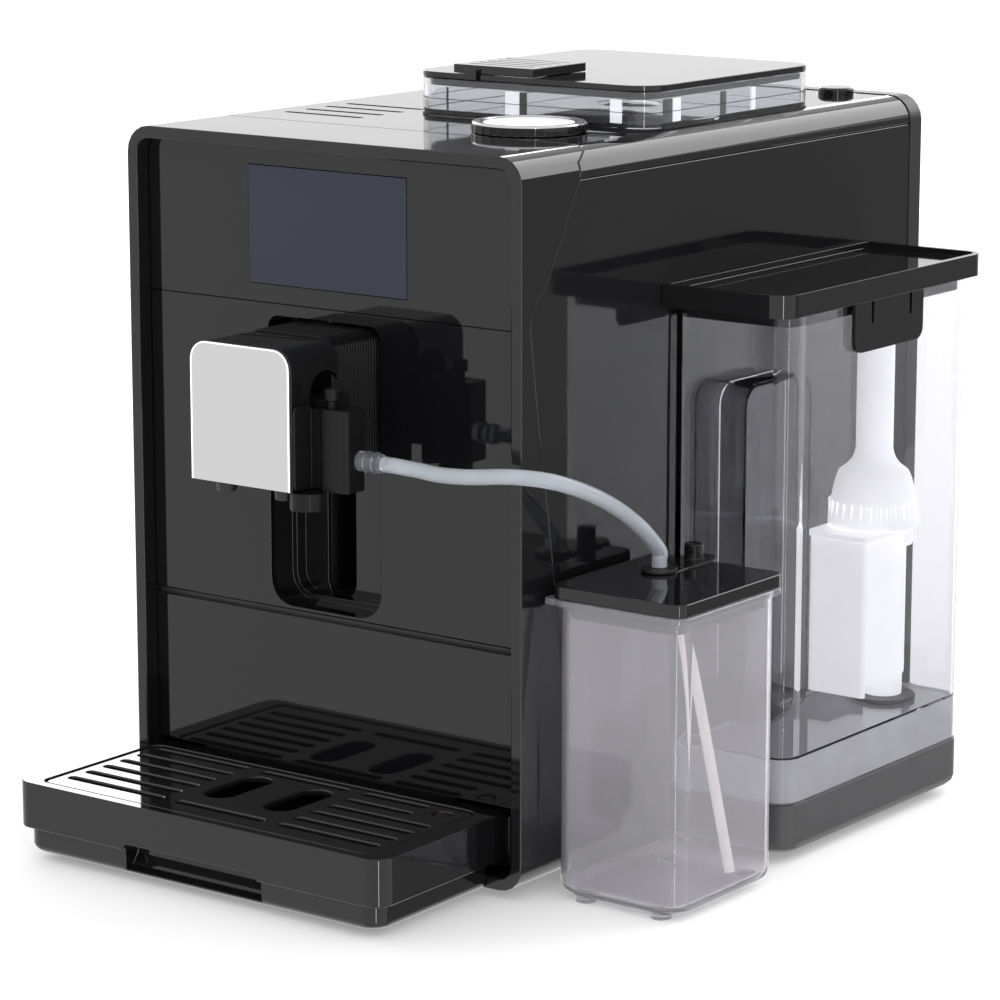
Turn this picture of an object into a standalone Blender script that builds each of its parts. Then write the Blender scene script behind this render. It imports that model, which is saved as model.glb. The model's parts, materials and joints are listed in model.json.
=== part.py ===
"""Bean to cup coffee machine with a milk jug at its side. Metres, +Z up, front to -Y."""

from math import cos, pi, sin, tau

import bmesh
import bpy
from mathutils import Vector

# Fits
gap = 0.0003
overrun = 0.001
loose_fit = 0.0015

# Resolution
corner_steps = 5
slot_steps = 3
slot_corner = 0.004
round_sides = 32
small_sides = 20

# Housing. X runs from its left side, Y from the front of its rim, Z from the ground.
body_width = 0.235
body_depth = 0.3465
body_height = 0.341
body_corner = 0.013
skin = 0.0025
rim_width = 0.006
rim_depth = 0.012
panel_recess = 0.0085
panel_thickness = 0.003
seam_shares = (
    (0.139, 0.0),
    (0.062, 0.496),
    (0.039, 0.625),
    (0.0186, 0.773),
    (0.0195, 0.792),
    (0.040, 0.815),
    (0.057, 0.833),
    (0.094, 0.899),
    (0.129, 0.962),
    (0.132, 0.982),
    (0.172, 1.0),
)
side_seam_drop = 0.0138
rear_depth = 0.011
rear_wall = 0.003
rear_lip = 0.0004
vent_count = 4
vent_length = 0.048
vent_width = 0.0035
vent_pitch = 0.016
vent_left = 0.025
vent_front = 0.0872
rear_slot_count = 6
rear_slot_length = 0.07
rear_slot_width = 0.004
rear_slot_pitch = 0.012
rear_slot_height = 0.2
screw_radius = 0.0035
screw_head = 0.0012
screw_shank = 0.0016
screw_inset = 0.018
screw_shank_length = 0.0025

# Feet and base
foot_height = 0.004
foot_radius = 0.011
foot_inset = 0.03
foot_front_inset = 0.075
base_thickness = 0.003

# Front panels
tray_opening = 0.0375
display_panel_height = 0.0735
display_panel_seam = 0.0004
display_width = 0.095
display_height = 0.0565
display_left = 0.0684
display_bottom_edge = 0.0085
display_depth = 0.007
lower_panel_height = 0.073
panel_gap = 0.0035

# Spout recess
recess_left = 0.08
recess_width = 0.067
recess_depth = 0.016
recess_corner = 0.013
recess_step_inset = 0.003
recess_step_depth = 0.0065
recess_wall = 0.002
recess_foot = 0.0015
recess_head = 0.0055
recess_top_corner = 0.006
slot_width = 0.017
slot_right = 0.0256
slot_foot = 0.0015
slot_head = 0.0036

# Chassis
chassis_plate = 0.003
chassis_side = 0.003
chassis_rear_gap = 0.004
chassis_front_gap = 0.002
drawer_room = 0.003
drop_left = 0.02
drop_width = 0.05
drop_front = 0.055
drop_depth = 0.06

# Spout
plate_width = 0.0585
plate_left = 0.08825
plate_thickness = 0.0015
plate_corner = 0.009
spout_front = 0.057
spout_bottom = 0.192
spout_height = 0.065
cover_depth = 0.034
cover_wall = 0.0025
arch_front = 0.0135
arch_width = 0.022
arch_height = 0.053
spout_travel = 0.066
body_block_width = 0.0502
body_block_depth = 0.035
body_block_top = 0.066
body_block_wall = 0.003
rib_count = 18
rib_width = 0.001
rib_rise = 0.0006
stem_width = 0.012
stem_height = 0.04
stem_lift = 0.013
carriage_width = 0.036
carriage_height = 0.052
carriage_thickness = 0.004
nozzle_spacing = 0.035
nozzle_back = 0.009
nozzle_radius = 0.0048
nozzle_bore = 0.003
nozzle_drop = 0.006
nozzle_length = 0.016
nozzle_flange = 0.0062
nozzle_flange_thickness = 0.002
arm_thickness = 0.003
arm_lift = 0.008

# Milk adapter
flange_width = 0.0015
flange_depth = 0.013
flange_height = 0.039
flange_lift = 0.0005
block_left = 0.0065
block_width = 0.0165
block_depth = 0.0145
block_height = 0.038
boss_length = 0.006
boss_width = 0.016
boss_height = 0.03
pin_across_share = 0.245
pin_back_share = 0.352
pin_radius = 0.0022
pin_head_radius = 0.0035
pin_head_height = 0.0055
pin_stem_height = 0.0036
pin_socket_depth = 0.01
outlet_radius = 0.0083
outlet_right = 0.002
outlet_height = 0.0085
outlet_bore = 0.0055
outlet_wall_top = 0.002
sleeve_radius = 0.0046
sleeve_length = 0.0135
sleeve_drop = 0.0235
sleeve_back = 0.0006

# Milk hose, from the sleeve to the fitting on the jug's lid. Its route gives each point's share of the way
# to the right, then its place back and its height.
hose_radius = 0.0036
hose_route = (
    (0.1948, -0.0303, 0.2047),
    (0.3215, -0.0270, 0.2033),
    (0.4813, -0.0220, 0.2031),
    (0.6238, -0.0150, 0.2036),
    (0.7222, -0.0070, 0.2027),
    (0.8119, 0.0020, 0.2005),
    (0.8844, 0.0130, 0.1962),
    (0.9250, 0.0240, 0.1910),
    (0.9570, 0.0360, 0.1842),
    (0.9816, 0.0470, 0.1765),
    (0.9963, 0.0560, 0.1690),
)
hose_step_count = 2

# Milk jug
jug_side_gap = 0.007
jug_front = 0.015
jug_width = 0.07
jug_depth = 0.0827
jug_height = 0.143
jug_corner = 0.01
jug_wall = 0.002
jug_floor = 0.003
jug_foot_height = 0.0025
jug_foot_radius = 0.005
jug_foot_inset = 0.014
jug_foot_back = 0.0075
jug_bottom_edge = 0.006
jug_lid_height = 0.0062
jug_lid_overhang = 0.0022
jug_rim_height = 0.003
jug_rim_corner = 0.008
jug_lip = 0.005
jug_lip_length = 0.016
jug_lid_inset = 0.0008
jug_lid_corner = 0.006
jug_skirt_height = 0.009
jug_skirt_wall = 0.0018
jug_tab_length = 0.008
jug_post_radius = 0.0045
jug_post_height = 0.0085
jug_post_right = 0.0238
jug_post_back = 0.0793
jug_plate_rise = 0.0012
jug_plate_corner = 0.008
fitting_right = 0.0235
fitting_back = 0.0512
fitting_radius = 0.0085
fitting_flange = 0.0018
fitting_spigot = 0.004
fitting_drop = 0.01
suction_radius = 0.0026
suction_lift = 0.004
suction_lean_shares = (0.0, 0.0, 0.0, 0.09, 0.2, 0.27, 0.45, 0.72, 1.0)
suction_drop_shares = (0.0, 0.012, 0.022, 0.04, 0.055, 0.075, 0.25, 0.61, 1.0)
suction_run = 0.0345
suction_back = 0.008

# Water tank
shelf_width = 0.0672
shelf_front = 0.121
shelf_depth = 0.165
shelf_lift = 0.0007
shelf_height = 0.0243
shelf_corner = 0.01
shelf_edge = 0.005
tank_side_gap = 0.0017
tank_width = 0.0655
tank_depth = 0.1645
tank_height = 0.235
tank_wall = 0.0022
tank_corner = 0.011
tank_floor_lift = 0.02
tank_floor = 0.0025
tank_skirt_wall = 0.004
tank_lid_height = 0.011
tank_lid_overhang = 0.0027
tank_lid_back = 0.0085
tank_lid_front = 0.01
tank_lid_corner = 0.01
tank_lid_dish = 0.003
tank_lid_rim = 0.003
tank_lid_plug = 0.006
tank_lid_plug_wall = 0.002
tab_front = 0.0605
tab_width = 0.0625
tab_corner = 0.006
tab_drop = 0.024
tab_thickness = 0.0022
tab_slot_width = 0.0024
tab_slot_height = 0.011
tab_slot_shares = (0.25, 0.81)
socket_depth = 0.008
valve_radius = 0.0115
valve_height = 0.007
valve_flange = 0.0165
valve_flange_thickness = 0.002
valve_bore = 0.004

# Water filter
filter_right = 0.031
filter_back = 0.1295
valve_right = 0.0373
valve_back = 0.1315
filter_neck_radius = 0.0096
filter_neck_height = 0.0051
filter_body_width = 0.0334
filter_body_front = 0.0335
filter_body_depth = 0.045
filter_body_height = 0.0815
filter_corner = 0.003
filter_rear_corner = 0.009
filter_notch = 0.006
filter_notch_wall = 0.002
filter_brim = 0.0016
filter_brim_height = 0.0022
filter_cap_radius = 0.0227
filter_dome_height = 0.0385
filter_dome_shares = (
    (1.0, 0.0),
    (0.99, 0.1),
    (0.8, 0.5),
    (0.7, 0.62),
    (0.6, 0.7),
    (0.3, 0.78),
    (0.12, 0.86),
    (0.03, 0.94),
    (0.0, 1.0),
)
filter_stem_radius = 0.0093
filter_stem_height = 0.067
filter_stem_wall = 0.002
hook_thickness = 0.0022
hook_width = 0.009
hook_drop = 0.009
hook_rise = 0.005
hook_corner = 0.003

# Bean hopper
hopper_left = 0.0807
hopper_front = 0.118
hopper_width = 0.1413
hopper_depth = 0.148
hopper_height = 0.018
hopper_corner = 0.015
hopper_wall = 0.002
hopper_floor = 0.0025
hopper_neck_radius = 0.021
hopper_neck_drop = 0.012
hopper_neck_bore = 0.018
hopper_neck_right = 0.0743
hopper_neck_back = 0.085
hopper_lid_height = 0.0028
hopper_lid_overhang = 0.0002
hopper_lid_plug = 0.004
hopper_lid_plug_wall = 0.0018
flap_left = 0.0258
flap_front = 0.0002
flap_width = 0.0475
flap_depth = 0.045
flap_thickness = 0.0042
flap_lip = 0.0045
flap_corner = 0.001
flap_groove_count = 5
flap_groove_width = 0.0014
flap_groove_depth = 0.0006
flap_lever_right = 0.0085
flap_lever_width = 0.007
flap_lever_length = 0.0025
flap_lever_drop = 0.003

# Knob and button on the top
knob_right = 0.1745
knob_back = 0.088
knob_radius = 0.027
knob_height = 0.005
knob_dish = 0.0008
knob_rim = 0.003
knob_shaft_radius = 0.004
knob_shaft_length = 0.012
button_side_gap = 0.039
button_rear_gap = 0.0205
button_radius = 0.00925
button_height = 0.0035
button_stroke = 0.0015
button_stem_radius = 0.003
button_stem_length = 0.008
button_edge = 0.0008

# Drip tray
tray_front = 0.0865
tray_left = -0.0005
tray_width = 0.22
tray_flare = 0.0015
tray_top = 0.039
tray_band_bottom = 0.0165
tray_foot = 0.004
tray_base_front = 0.003
tray_base_side = 0.004
tray_base_edge = 0.004
tray_corner = 0.009
tray_rim_front = 0.0061
tray_rim_side = 0.0101
tray_wall = 0.0025
tray_floor = 0.003
tray_rim_gap = 0.0005
tray_ledge = 0.003
tray_neck_left = 0.009
scoop_left = 0.066
scoop_width = 0.083
scoop_height = 0.003
scoop_slope = 0.004
scoop_lip = 0.0015
scoop_depth = 0.01
drawer_depth = 0.19
drawer_floor = 0.0025
drawer_wall = 0.0025
drawer_wall_height = 0.025
drawer_bottom = 0.0115
drawer_corner = 0.006
drawer_side_gap = 0.002
tray_travel = 0.2

# Drip grille
grille_thickness = 0.003
grille_clearance = 0.0009
grille_rear = 0.0015
grille_front_corner = 0.0035
grille_rear_corner = 0.006
grille_slot_width = 0.0045
grille_row_count = 6
grille_row_pitch = 0.0124
grille_front_margin = 0.0205
grille_margin = 0.0047
grille_land = 0.0088
float_land = 0.007
grille_oval_width = 0.0165
grille_oval_length = 0.041
grille_oval_spacing = 0.0367
grille_oval_back = 0.0557
float_inset = 0.0235
float_rear_gap = 0.0085
float_hole = 0.0047
float_radius = 0.0037
float_foot_radius = 0.005
float_foot_height = 0.003
float_rise = 0.006
grille_lift = 0.06

# Grounds bin
bin_left = 0.025
bin_width = 0.16
bin_depth = 0.13
bin_height = 0.085
bin_wall = 0.002
bin_corner = 0.01
bin_front_gap = 0.0005

# Inside
grinder_radius = 0.036
grinder_height = 0.052
grinder_wall = 0.004
burr_radius = 0.026
burr_height = 0.014
burr_shaft_radius = 0.004
burr_lift = 0.012
motor_radius = 0.028
motor_height = 0.08
motor_shaft_clearance = 0.006
chute_width = 0.022
chute_height = 0.014
chute_length = 0.014
brew_left = 0.012
brew_width = 0.064
brew_front = 0.05
brew_depth = 0.12
brew_height = 0.13
brew_corner = 0.012
brew_cylinder_radius = 0.024
brew_cylinder_height = 0.02
heater_right = 0.028
heater_side_gap = 0.0052
heater_front = 0.06
heater_depth = 0.075
heater_height = 0.06
heater_corner = 0.008
pump_radius = 0.017
pump_length = 0.062
pump_lift = 0.006
pump_back = 0.255
pump_left = 0.09
board_width = 0.11
board_height = 0.055
board_thickness = 0.0016
board_chip = 0.003
board_chip_width = 0.03
inlet_width = 0.0285
inlet_height = 0.0205
inlet_depth = 0.025
inlet_flange = 0.0025
inlet_flange_thickness = 0.0015
inlet_right = 0.03
inlet_lift = 0.03
inlet_wall = 0.002
inlet_socket_depth = 0.016
inlet_prong_width = 0.002
inlet_prong_height = 0.005
inlet_prong_spacing = 0.007
switch_width = 0.014
switch_height = 0.02
switch_gap = 0.014
switch_depth = 0.008
switch_rise = 0.0015
switch_swing = 0.0022
switch_pivot = 0.0015

# Service door
door_front = 0.085
door_width = 0.115
door_bottom = 0.085
door_height = 0.185
door_corner = 0.008
door_grip_width = 0.03
door_grip_height = 0.014
door_grip_depth = 0.0012


# Places that follow from the sizes
body_bottom = foot_height
body_top = body_bottom + body_height
panel_left = rim_width + gap
panel_right = body_width - rim_width - gap
panel_back = panel_recess + panel_thickness
display_panel_bottom = body_top - rim_width - gap - display_panel_height
middle_top = display_panel_bottom - display_panel_seam
lower_bottom = body_bottom + tray_opening
lower_top = lower_bottom + lower_panel_height
middle_bottom = lower_top + panel_gap
rear_front = body_depth - rear_depth
button_right = body_width - button_side_gap
button_back = body_depth - button_rear_gap
side_seam = body_top - side_seam_drop
plate_right = plate_left + plate_width
spout_middle = plate_left + plate_width / 2
spout_top = spout_bottom + spout_height
cover_front = -spout_front + plate_thickness + gap
cover_back = cover_front + cover_depth
block_front = cover_back + gap
block_back = block_front + body_block_depth
recess_right = recess_left + recess_width
slot_middle = recess_left + slot_right
recess_bottom = middle_bottom + recess_foot
recess_top = middle_top - recess_head
recess_step = panel_recess + recess_depth
recess_back = recess_step + recess_step_depth
chassis_top = lower_top + panel_gap / 2
inner_left = skin + gap
inner_right = body_width - skin - gap
jug_left = body_width + jug_side_gap
jug_right = jug_left + jug_width
jug_back = jug_front + jug_depth
jug_lid_bottom = jug_height + gap
jug_lid_top = jug_lid_bottom + jug_lid_height
shelf_left = body_width + gap
shelf_bottom = body_bottom + shelf_lift
shelf_top = shelf_bottom + shelf_height
tank_left = body_width + tank_side_gap
tank_right = tank_left + tank_width
tank_front = shelf_front
tank_back = tank_front + tank_depth
tank_bottom = shelf_top + gap
tank_top = tank_bottom + tank_height
tank_floor_top = tank_bottom + tank_floor_lift + tank_floor
filter_spot = (tank_left + filter_right, tank_front + filter_back)
valve_spot = (tank_left + valve_right, tank_front + valve_back)
filter_bottom = tank_floor_top + gap + valve_flange_thickness + gap
filter_shoulder = filter_bottom + filter_neck_height
filter_body_top = filter_shoulder + filter_body_height
tank_lid_bottom = tank_top + gap
tank_lid_left = body_width + gap
tank_lid_right = tank_right + tank_lid_overhang
hopper_bottom = body_top + gap
hopper_top = hopper_bottom + hopper_height
hopper_right = hopper_left + hopper_width
hopper_back = hopper_front + hopper_depth
tray_right = tray_left + tray_width
float_spot = (tray_right - float_inset, -float_rear_gap)
drawer_left = rim_width + drawer_side_gap
drawer_right = body_width - rim_width - drawer_side_gap
drawer_back = panel_back + drawer_depth
overall_left = min(-rear_lip, tray_left - tray_flare)
overall_right = max(tank_lid_right, jug_right + jug_lid_overhang)
overall_front = -tray_front
overall_back = body_depth + switch_rise + switch_swing / 2
centre_shift = Vector((-(overall_left + overall_right) / 2, -(overall_front + overall_back) / 2, 0))

looks = {
    "gloss_black": ((0.012, 0.012, 0.013), 0.08, 0),
    "matte_black": ((0.03, 0.03, 0.031), 0.55, 0),
    "panel_black": ((0.038, 0.038, 0.04), 0.2, 0),
    "screen": ((0.05, 0.055, 0.068), 0.12, 0),
    "chrome": ((0.8, 0.79, 0.8), 0.12, 1),
    "steel": ((0.62, 0.62, 0.62), 0.35, 1),
    "rubber": ((0.02, 0.02, 0.02), 0.8, 0),
    "clear": ((0.86, 0.89, 0.92), 0.05, 0),
    "smoke": ((0.35, 0.38, 0.43), 0.08, 0),
    "white": ((0.86, 0.86, 0.85), 0.4, 0),
    "beige": ((0.8, 0.76, 0.68), 0.45, 0),
    "hose_blue": ((0.7, 0.8, 0.88), 0.3, 0),
    "red": ((0.6, 0.03, 0.02), 0.4, 0),
    "brass": ((0.75, 0.55, 0.25), 0.3, 1),
    "board": ((0.03, 0.2, 0.08), 0.5, 0),
    "aluminium": ((0.7, 0.7, 0.7), 0.4, 1),
    "grey": ((0.12, 0.118, 0.118), 0.4, 0),
}


def remove_all():
    for item in list(bpy.data.objects):
        bpy.data.objects.remove(item, do_unlink=True)


def material(slot):
    found = bpy.data.materials.get(slot)
    if found:
        return found
    made = bpy.data.materials.new(slot)
    made.use_nodes = True
    shader = made.node_tree.nodes["Principled BSDF"]
    colour, roughness, metallic = looks[slot]
    shader.inputs["Base Color"].default_value = (*colour, 1)
    shader.inputs["Roughness"].default_value = roughness
    shader.inputs["Metallic"].default_value = metallic
    made.diffuse_color = (*colour, 1)
    return made


# Shapes
def solid(name, points, faces, smooth=False):
    mesh = bpy.data.meshes.new(name)
    mesh.from_pydata([tuple(point) for point in points], [], faces)
    work = bmesh.new()
    work.from_mesh(mesh)
    bmesh.ops.recalc_face_normals(work, faces=work.faces)
    work.to_mesh(mesh)
    work.free()
    if smooth:
        mesh.shade_smooth()
        mesh.set_sharp_from_angle(angle=pi / 6)
    made = bpy.data.objects.new(name, mesh)
    bpy.context.scene.collection.objects.link(made)
    return made


def rounded(low, high, radii):
    """Outline of a rectangle, its corner radii given from the low corner round."""
    if not isinstance(radii, tuple):
        radii = (radii, radii, radii, radii)
    corners = ((low[0], low[1]), (high[0], low[1]), (high[0], high[1]), (low[0], high[1]))
    inward = ((1, 1), (-1, 1), (-1, -1), (1, -1))
    points = []
    for index, (corner, turn, radius) in enumerate(zip(corners, inward, radii)):
        if not radius:
            points.append(corner)
            continue
        centre = (corner[0] + turn[0] * radius, corner[1] + turn[1] * radius)
        steps = corner_steps if radius > slot_corner else slot_steps
        for step in range(steps + 1):
            angle = pi + index * pi / 2 + step * pi / 2 / steps
            points.append((centre[0] + radius * cos(angle), centre[1] + radius * sin(angle)))
    return points


def circle(centre, radius, sides):
    turns = [tau * step / sides for step in range(sides)]
    return [(centre[0] + radius * cos(turn), centre[1] + radius * sin(turn)) for turn in turns]


def place(axis, point, along):
    if axis == "x":
        return (along, point[0], point[1])
    if axis == "y":
        return (point[0], along, point[1])
    return (point[0], point[1], along)


def prism(name, points, axis, start, end, smooth=False):
    """Outline pushed along an axis. It lies in YZ, XZ or XY for the axes x, y and z."""
    count = len(points)
    verts = [place(axis, point, start) for point in points]
    verts += [place(axis, point, end) for point in points]
    faces = [list(range(count)), list(range(count, 2 * count))]
    for index in range(count):
        after = (index + 1) % count
        faces.append([index, after, count + after, count + index])
    return solid(name, verts, faces, smooth)


def stack(name, outlines, heights):
    """Outlines of equally many points joined one above the other."""
    count = len(outlines[0])
    verts = [(*point, height) for points, height in zip(outlines, heights) for point in points]
    faces = [list(range(count)), list(range(len(verts) - count, len(verts)))]
    for low in range(0, len(verts) - count, count):
        for index in range(count):
            after = (index + 1) % count
            faces.append([low + index, low + after, low + count + after, low + count + index])
    return solid(name, verts, faces, True)


def slab(name, low, high, radii=0, axis="z"):
    """Box from one corner to the other, its edges along the axis rounded."""
    first, second, along = {"x": (1, 2, 0), "y": (0, 2, 1), "z": (0, 1, 2)}[axis]
    points = rounded((low[first], low[second]), (high[first], high[second]), radii)
    return prism(name, points, axis, low[along], high[along], bool(radii))


def rounded_box(name, low, high, radii, edge):
    """Upright box from one corner to the other, its bottom edge rounded."""
    outlines = []
    heights = []
    for step in range(slot_steps + 1):
        turn = pi / 2 * step / slot_steps
        more = edge * (1 - sin(turn))
        outlines.append(rounded((low[0] + more, low[1] + more), (high[0] - more, high[1] - more), radii))
        heights.append(low[2] + edge * (1 - cos(turn)))
    return stack(name, [*outlines, outlines[-1]], [*heights, high[2]])


def rod(name, centre, radius, axis, start, end, sides=small_sides):
    return prism(name, circle(centre, radius, sides), axis, start, end, True)


def turned(name, centre, profile, axis="z", sides=round_sides):
    """Profile of (radius, height) turned round an axis. It begins and ends on the axis."""
    rings = profile[1:-1]
    verts = [place(axis, centre, profile[0][1])]
    for radius, height in rings:
        verts += [place(axis, point, height) for point in circle(centre, radius, sides)]
    verts.append(place(axis, centre, profile[-1][1]))
    last = len(verts) - 1
    faces = []
    for step in range(sides):
        after = (step + 1) % sides
        faces.append([0, 1 + step, 1 + after])
        for ring in range(len(rings) - 1):
            low = 1 + ring * sides
            high = low + sides
            faces.append([low + step, low + after, high + after, high + step])
        top = 1 + (len(rings) - 1) * sides
        faces.append([last, top + step, top + after])
    return solid(name, verts, faces, True)


def hidden(item):
    item.hide_render = True
    item.display_type = "WIRE"
    return item


def combine(target, operation, tools):
    for tool in tools:
        hidden(tool)
        step = target.modifiers.new(tool.name, "BOOLEAN")
        step.operation = operation
        step.object = tool
        step.solver = "EXACT"
    return target


def cut(target, *tools):
    return combine(target, "DIFFERENCE", tools)


def join(target, *tools):
    return combine(target, "UNION", tools)


def keep(target, *tools):
    return combine(target, "INTERSECT", tools)


def piece(item, slot, pivot=None):
    """Gives a finished piece its material and, where it moves, its origin on its axis."""
    item.data.materials.append(material(slot))
    if pivot:
        for point in item.data.vertices:
            point.co -= Vector(pivot)
        item.location = pivot
    return item


# Housing
def seam_region(name, shift):
    """Everything behind the swept side seam, moved back by a clearance."""
    points = []
    for depth_share, height_share in seam_shares:
        points.append((body_depth * depth_share + shift, body_bottom + body_height * height_share))
    points[0] = (points[0][0], body_bottom - overrun)
    points.append((points[-1][0], body_top + overrun))
    far = body_depth + overrun
    points += [(far, body_top + overrun), (far, body_bottom - overrun)]
    return prism(name, points, "x", -overrun, body_width + overrun)


def shell(name, start, end, inset, radius):
    low = (inset, start, body_bottom + inset)
    high = (body_width - inset, end, body_top - inset)
    return slab(name, low, high, radius, "y")


def front_frame():
    depth = body_depth * seam_shares[-1][0]
    frame = shell("front_frame", 0, depth, 0, body_corner)
    opening = shell("frame_opening", -overrun, rim_depth + overrun, rim_width, body_corner - rim_width)
    hollow = shell("frame_hollow", rim_depth, depth + overrun, skin, body_corner - skin)
    behind = seam_region("frame_behind", 0)
    core = shell("frame_core", -overrun, rim_depth + overrun, skin + gap, body_corner - skin - gap)
    cut(behind, core)
    return piece(cut(frame, opening, hollow, behind), "gloss_black")


def top_cover():
    low = (0, 0, side_seam + gap / 2)
    high = (body_width, rear_front - gap, body_top)
    cover = slab("top_cover", low, high, (0, 0, body_corner, body_corner), "y")
    low = (skin, -overrun, side_seam - overrun)
    high = (body_width - skin, body_depth, body_top - skin)
    inner = body_corner - skin
    hollow = slab("cover_hollow", low, high, (0, 0, inner, inner), "y")
    keep(cover, seam_region("cover_region", gap))
    cut(cover, hollow)
    for index in range(vent_count):
        front = vent_front + index * vent_pitch
        low = (vent_left, front, body_top - skin - overrun)
        high = (vent_left + vent_length, front + vent_width, body_top + overrun)
        cut(cover, slab(f"vent_{index + 1}", low, high, vent_width / 2 - gap))
    ends = (body_top - skin - overrun, body_top + overrun)
    neck = (hopper_left + hopper_neck_right, hopper_front + hopper_neck_back)
    cut(cover, rod("cover_neck", neck, hopper_neck_radius + gap, "z", *ends, round_sides))
    cut(cover, rod("cover_knob", (knob_right, knob_back), knob_shaft_radius + gap, "z", *ends))
    cut(cover, rod("cover_button", (button_right, button_back), button_radius + gap, "z", *ends))
    return piece(cover, "gloss_black")


def side_panel(name, left):
    low = (left, 0, body_bottom)
    high = (left + skin, rear_front - gap, side_seam - gap / 2)
    panel = slab(name, low, high)
    keep(panel, seam_region(name + "_region", gap))
    return panel


def side_panels():
    piece(side_panel("right_side_panel", body_width - skin), "gloss_black")
    panel = side_panel("left_side_panel", 0)
    low = (-overrun, door_front, door_bottom)
    high = (skin + overrun, door_front + door_width, door_bottom + door_height)
    cut(panel, slab("door_opening", low, high, door_corner, "x"))
    return piece(panel, "gloss_black")


def service_door():
    low = (0, door_front + gap, door_bottom + gap)
    high = (skin, door_front + door_width - gap, door_bottom + door_height - gap)
    door = slab("service_door", low, high, door_corner - gap, "x")
    middle = door_bottom + door_height / 2
    low = (-overrun, door_front + door_corner, middle - door_grip_width / 2)
    high = (door_grip_depth, door_front + door_corner + door_grip_height, middle + door_grip_width / 2)
    cut(door, slab("door_grip", low, high, door_grip_height / 2 - gap, "x"))
    return piece(door, "gloss_black", (0, door_front + door_width - gap, middle))


def screw_places():
    across = (screw_inset, body_width - screw_inset)
    upward = (body_bottom + screw_inset, body_top - screw_inset)
    return [(x, z) for z in upward for x in across]


def rear_panel():
    low = (-rear_lip, rear_front, body_bottom)
    high = (body_width + rear_lip, body_depth, body_top + rear_lip)
    panel = slab("rear_panel", low, high, body_corner, "y")
    low = (skin, rear_front - overrun, body_bottom + skin)
    high = (body_width - skin, body_depth - rear_wall, body_top - skin)
    cut(panel, slab("rear_hollow", low, high, body_corner - skin, "y"))
    ends = (body_depth - rear_wall - overrun, body_depth + overrun)
    middle = body_width / 2
    for index in range(rear_slot_count):
        base = rear_slot_height + index * rear_slot_pitch
        low = (middle - rear_slot_length / 2, ends[0], base)
        high = (middle + rear_slot_length / 2, ends[1], base + rear_slot_width)
        cut(panel, slab(f"rear_slot_{index + 1}", low, high, rear_slot_width / 2 - gap, "y"))
    for index, spot in enumerate(screw_places()):
        cut(panel, rod(f"screw_hole_{index + 1}", spot, screw_shank + gap, "y", *ends))
    low = (inlet_right - gap, ends[0], inlet_lift - gap)
    high = (inlet_right + inlet_width + gap, ends[1], inlet_lift + inlet_height + gap)
    cut(panel, slab("inlet_opening", low, high, 0, "y"))
    left = inlet_right + inlet_width + switch_gap
    low = (left - gap, ends[0], inlet_lift - gap)
    high = (left + switch_width + gap, ends[1], inlet_lift + switch_height + gap)
    cut(panel, slab("switch_opening", low, high, 0, "y"))
    return piece(panel, "matte_black")


def rear_screws():
    for index, spot in enumerate(screw_places()):
        face = body_depth + gap
        inner = body_depth - rear_wall - screw_shank_length + gap
        profile = [
            (0, inner),
            (screw_shank, inner),
            (screw_shank, face),
            (screw_radius, face),
            (screw_radius, face + screw_head / 2),
            (screw_radius * 3 / 4, face + screw_head),
            (0, face + screw_head),
        ]
        piece(turned(f"rear_screw_{index + 1}", spot, profile, "y", small_sides), "steel")


def base_plate():
    front = body_depth * seam_shares[0][0] + gap
    low = (inner_left, front, body_bottom)
    high = (inner_right, rear_front - gap, body_bottom + base_thickness)
    return piece(slab("base_plate", low, high), "matte_black")


def feet():
    across = {"left": foot_inset, "right": body_width - foot_inset}
    along = {"front": foot_front_inset, "rear": rear_front - foot_inset}
    for row, y in along.items():
        for side, x in across.items():
            foot = rod(f"foot_{row}_{side}", (x, y), foot_radius, "z", 0, foot_height - gap, round_sides)
            piece(foot, "rubber")


# Front panels
def front_panel(name, bottom, top, top_radius=0):
    low = (panel_left, panel_recess, bottom)
    high = (panel_right, panel_back, top)
    return slab(name, low, high, (0, 0, top_radius, top_radius), "y")


def display_panel():
    radius = body_corner - rim_width - gap
    panel = front_panel("display_panel", display_panel_bottom, body_top - rim_width - gap, radius)
    bottom = display_panel_bottom + display_bottom_edge
    low = (display_left, panel_recess - overrun, bottom)
    high = (display_left + display_width, panel_back + overrun, bottom + display_height)
    cut(panel, slab("display_window", low, high, 0, "y"))
    piece(panel, "panel_black")
    low = (low[0] + gap, panel_recess, bottom + gap)
    high = (high[0] - gap, panel_recess + display_depth, bottom + display_height - gap)
    return piece(slab("display", low, high, 0, "y"), "screen")


def middle_panel():
    panel = front_panel("middle_panel", middle_bottom, middle_top)
    corner = recess_corner + recess_wall
    low = (recess_left - recess_wall, panel_recess + overrun, middle_bottom)
    high = (recess_right + recess_wall, recess_back + recess_wall, middle_top)
    head = recess_top_corner
    join(panel, slab("recess_tub", low, high, (corner, corner, head, head), "y"))
    low = (recess_left, panel_recess - overrun, recess_bottom)
    high = (recess_right, recess_step, recess_top)
    cut(panel, slab("recess_room", low, high, (recess_corner, recess_corner, head, head), "y"))
    inset = recess_step_inset
    corner = recess_corner - inset
    head = recess_top_corner - inset
    low = (recess_left + inset, recess_step - overrun, recess_bottom + inset)
    high = (recess_right - inset, recess_back, recess_top - inset)
    cut(panel, slab("recess_floor", low, high, (corner, corner, head, head), "y"))
    low = (slot_middle - slot_width / 2, recess_back - overrun, recess_bottom + slot_foot)
    high = (slot_middle + slot_width / 2, recess_back + recess_wall + overrun, recess_top - slot_head)
    cut(panel, slab("recess_slot", low, high, slot_width / 2 - gap, "y"))
    return piece(panel, "panel_black")


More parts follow.
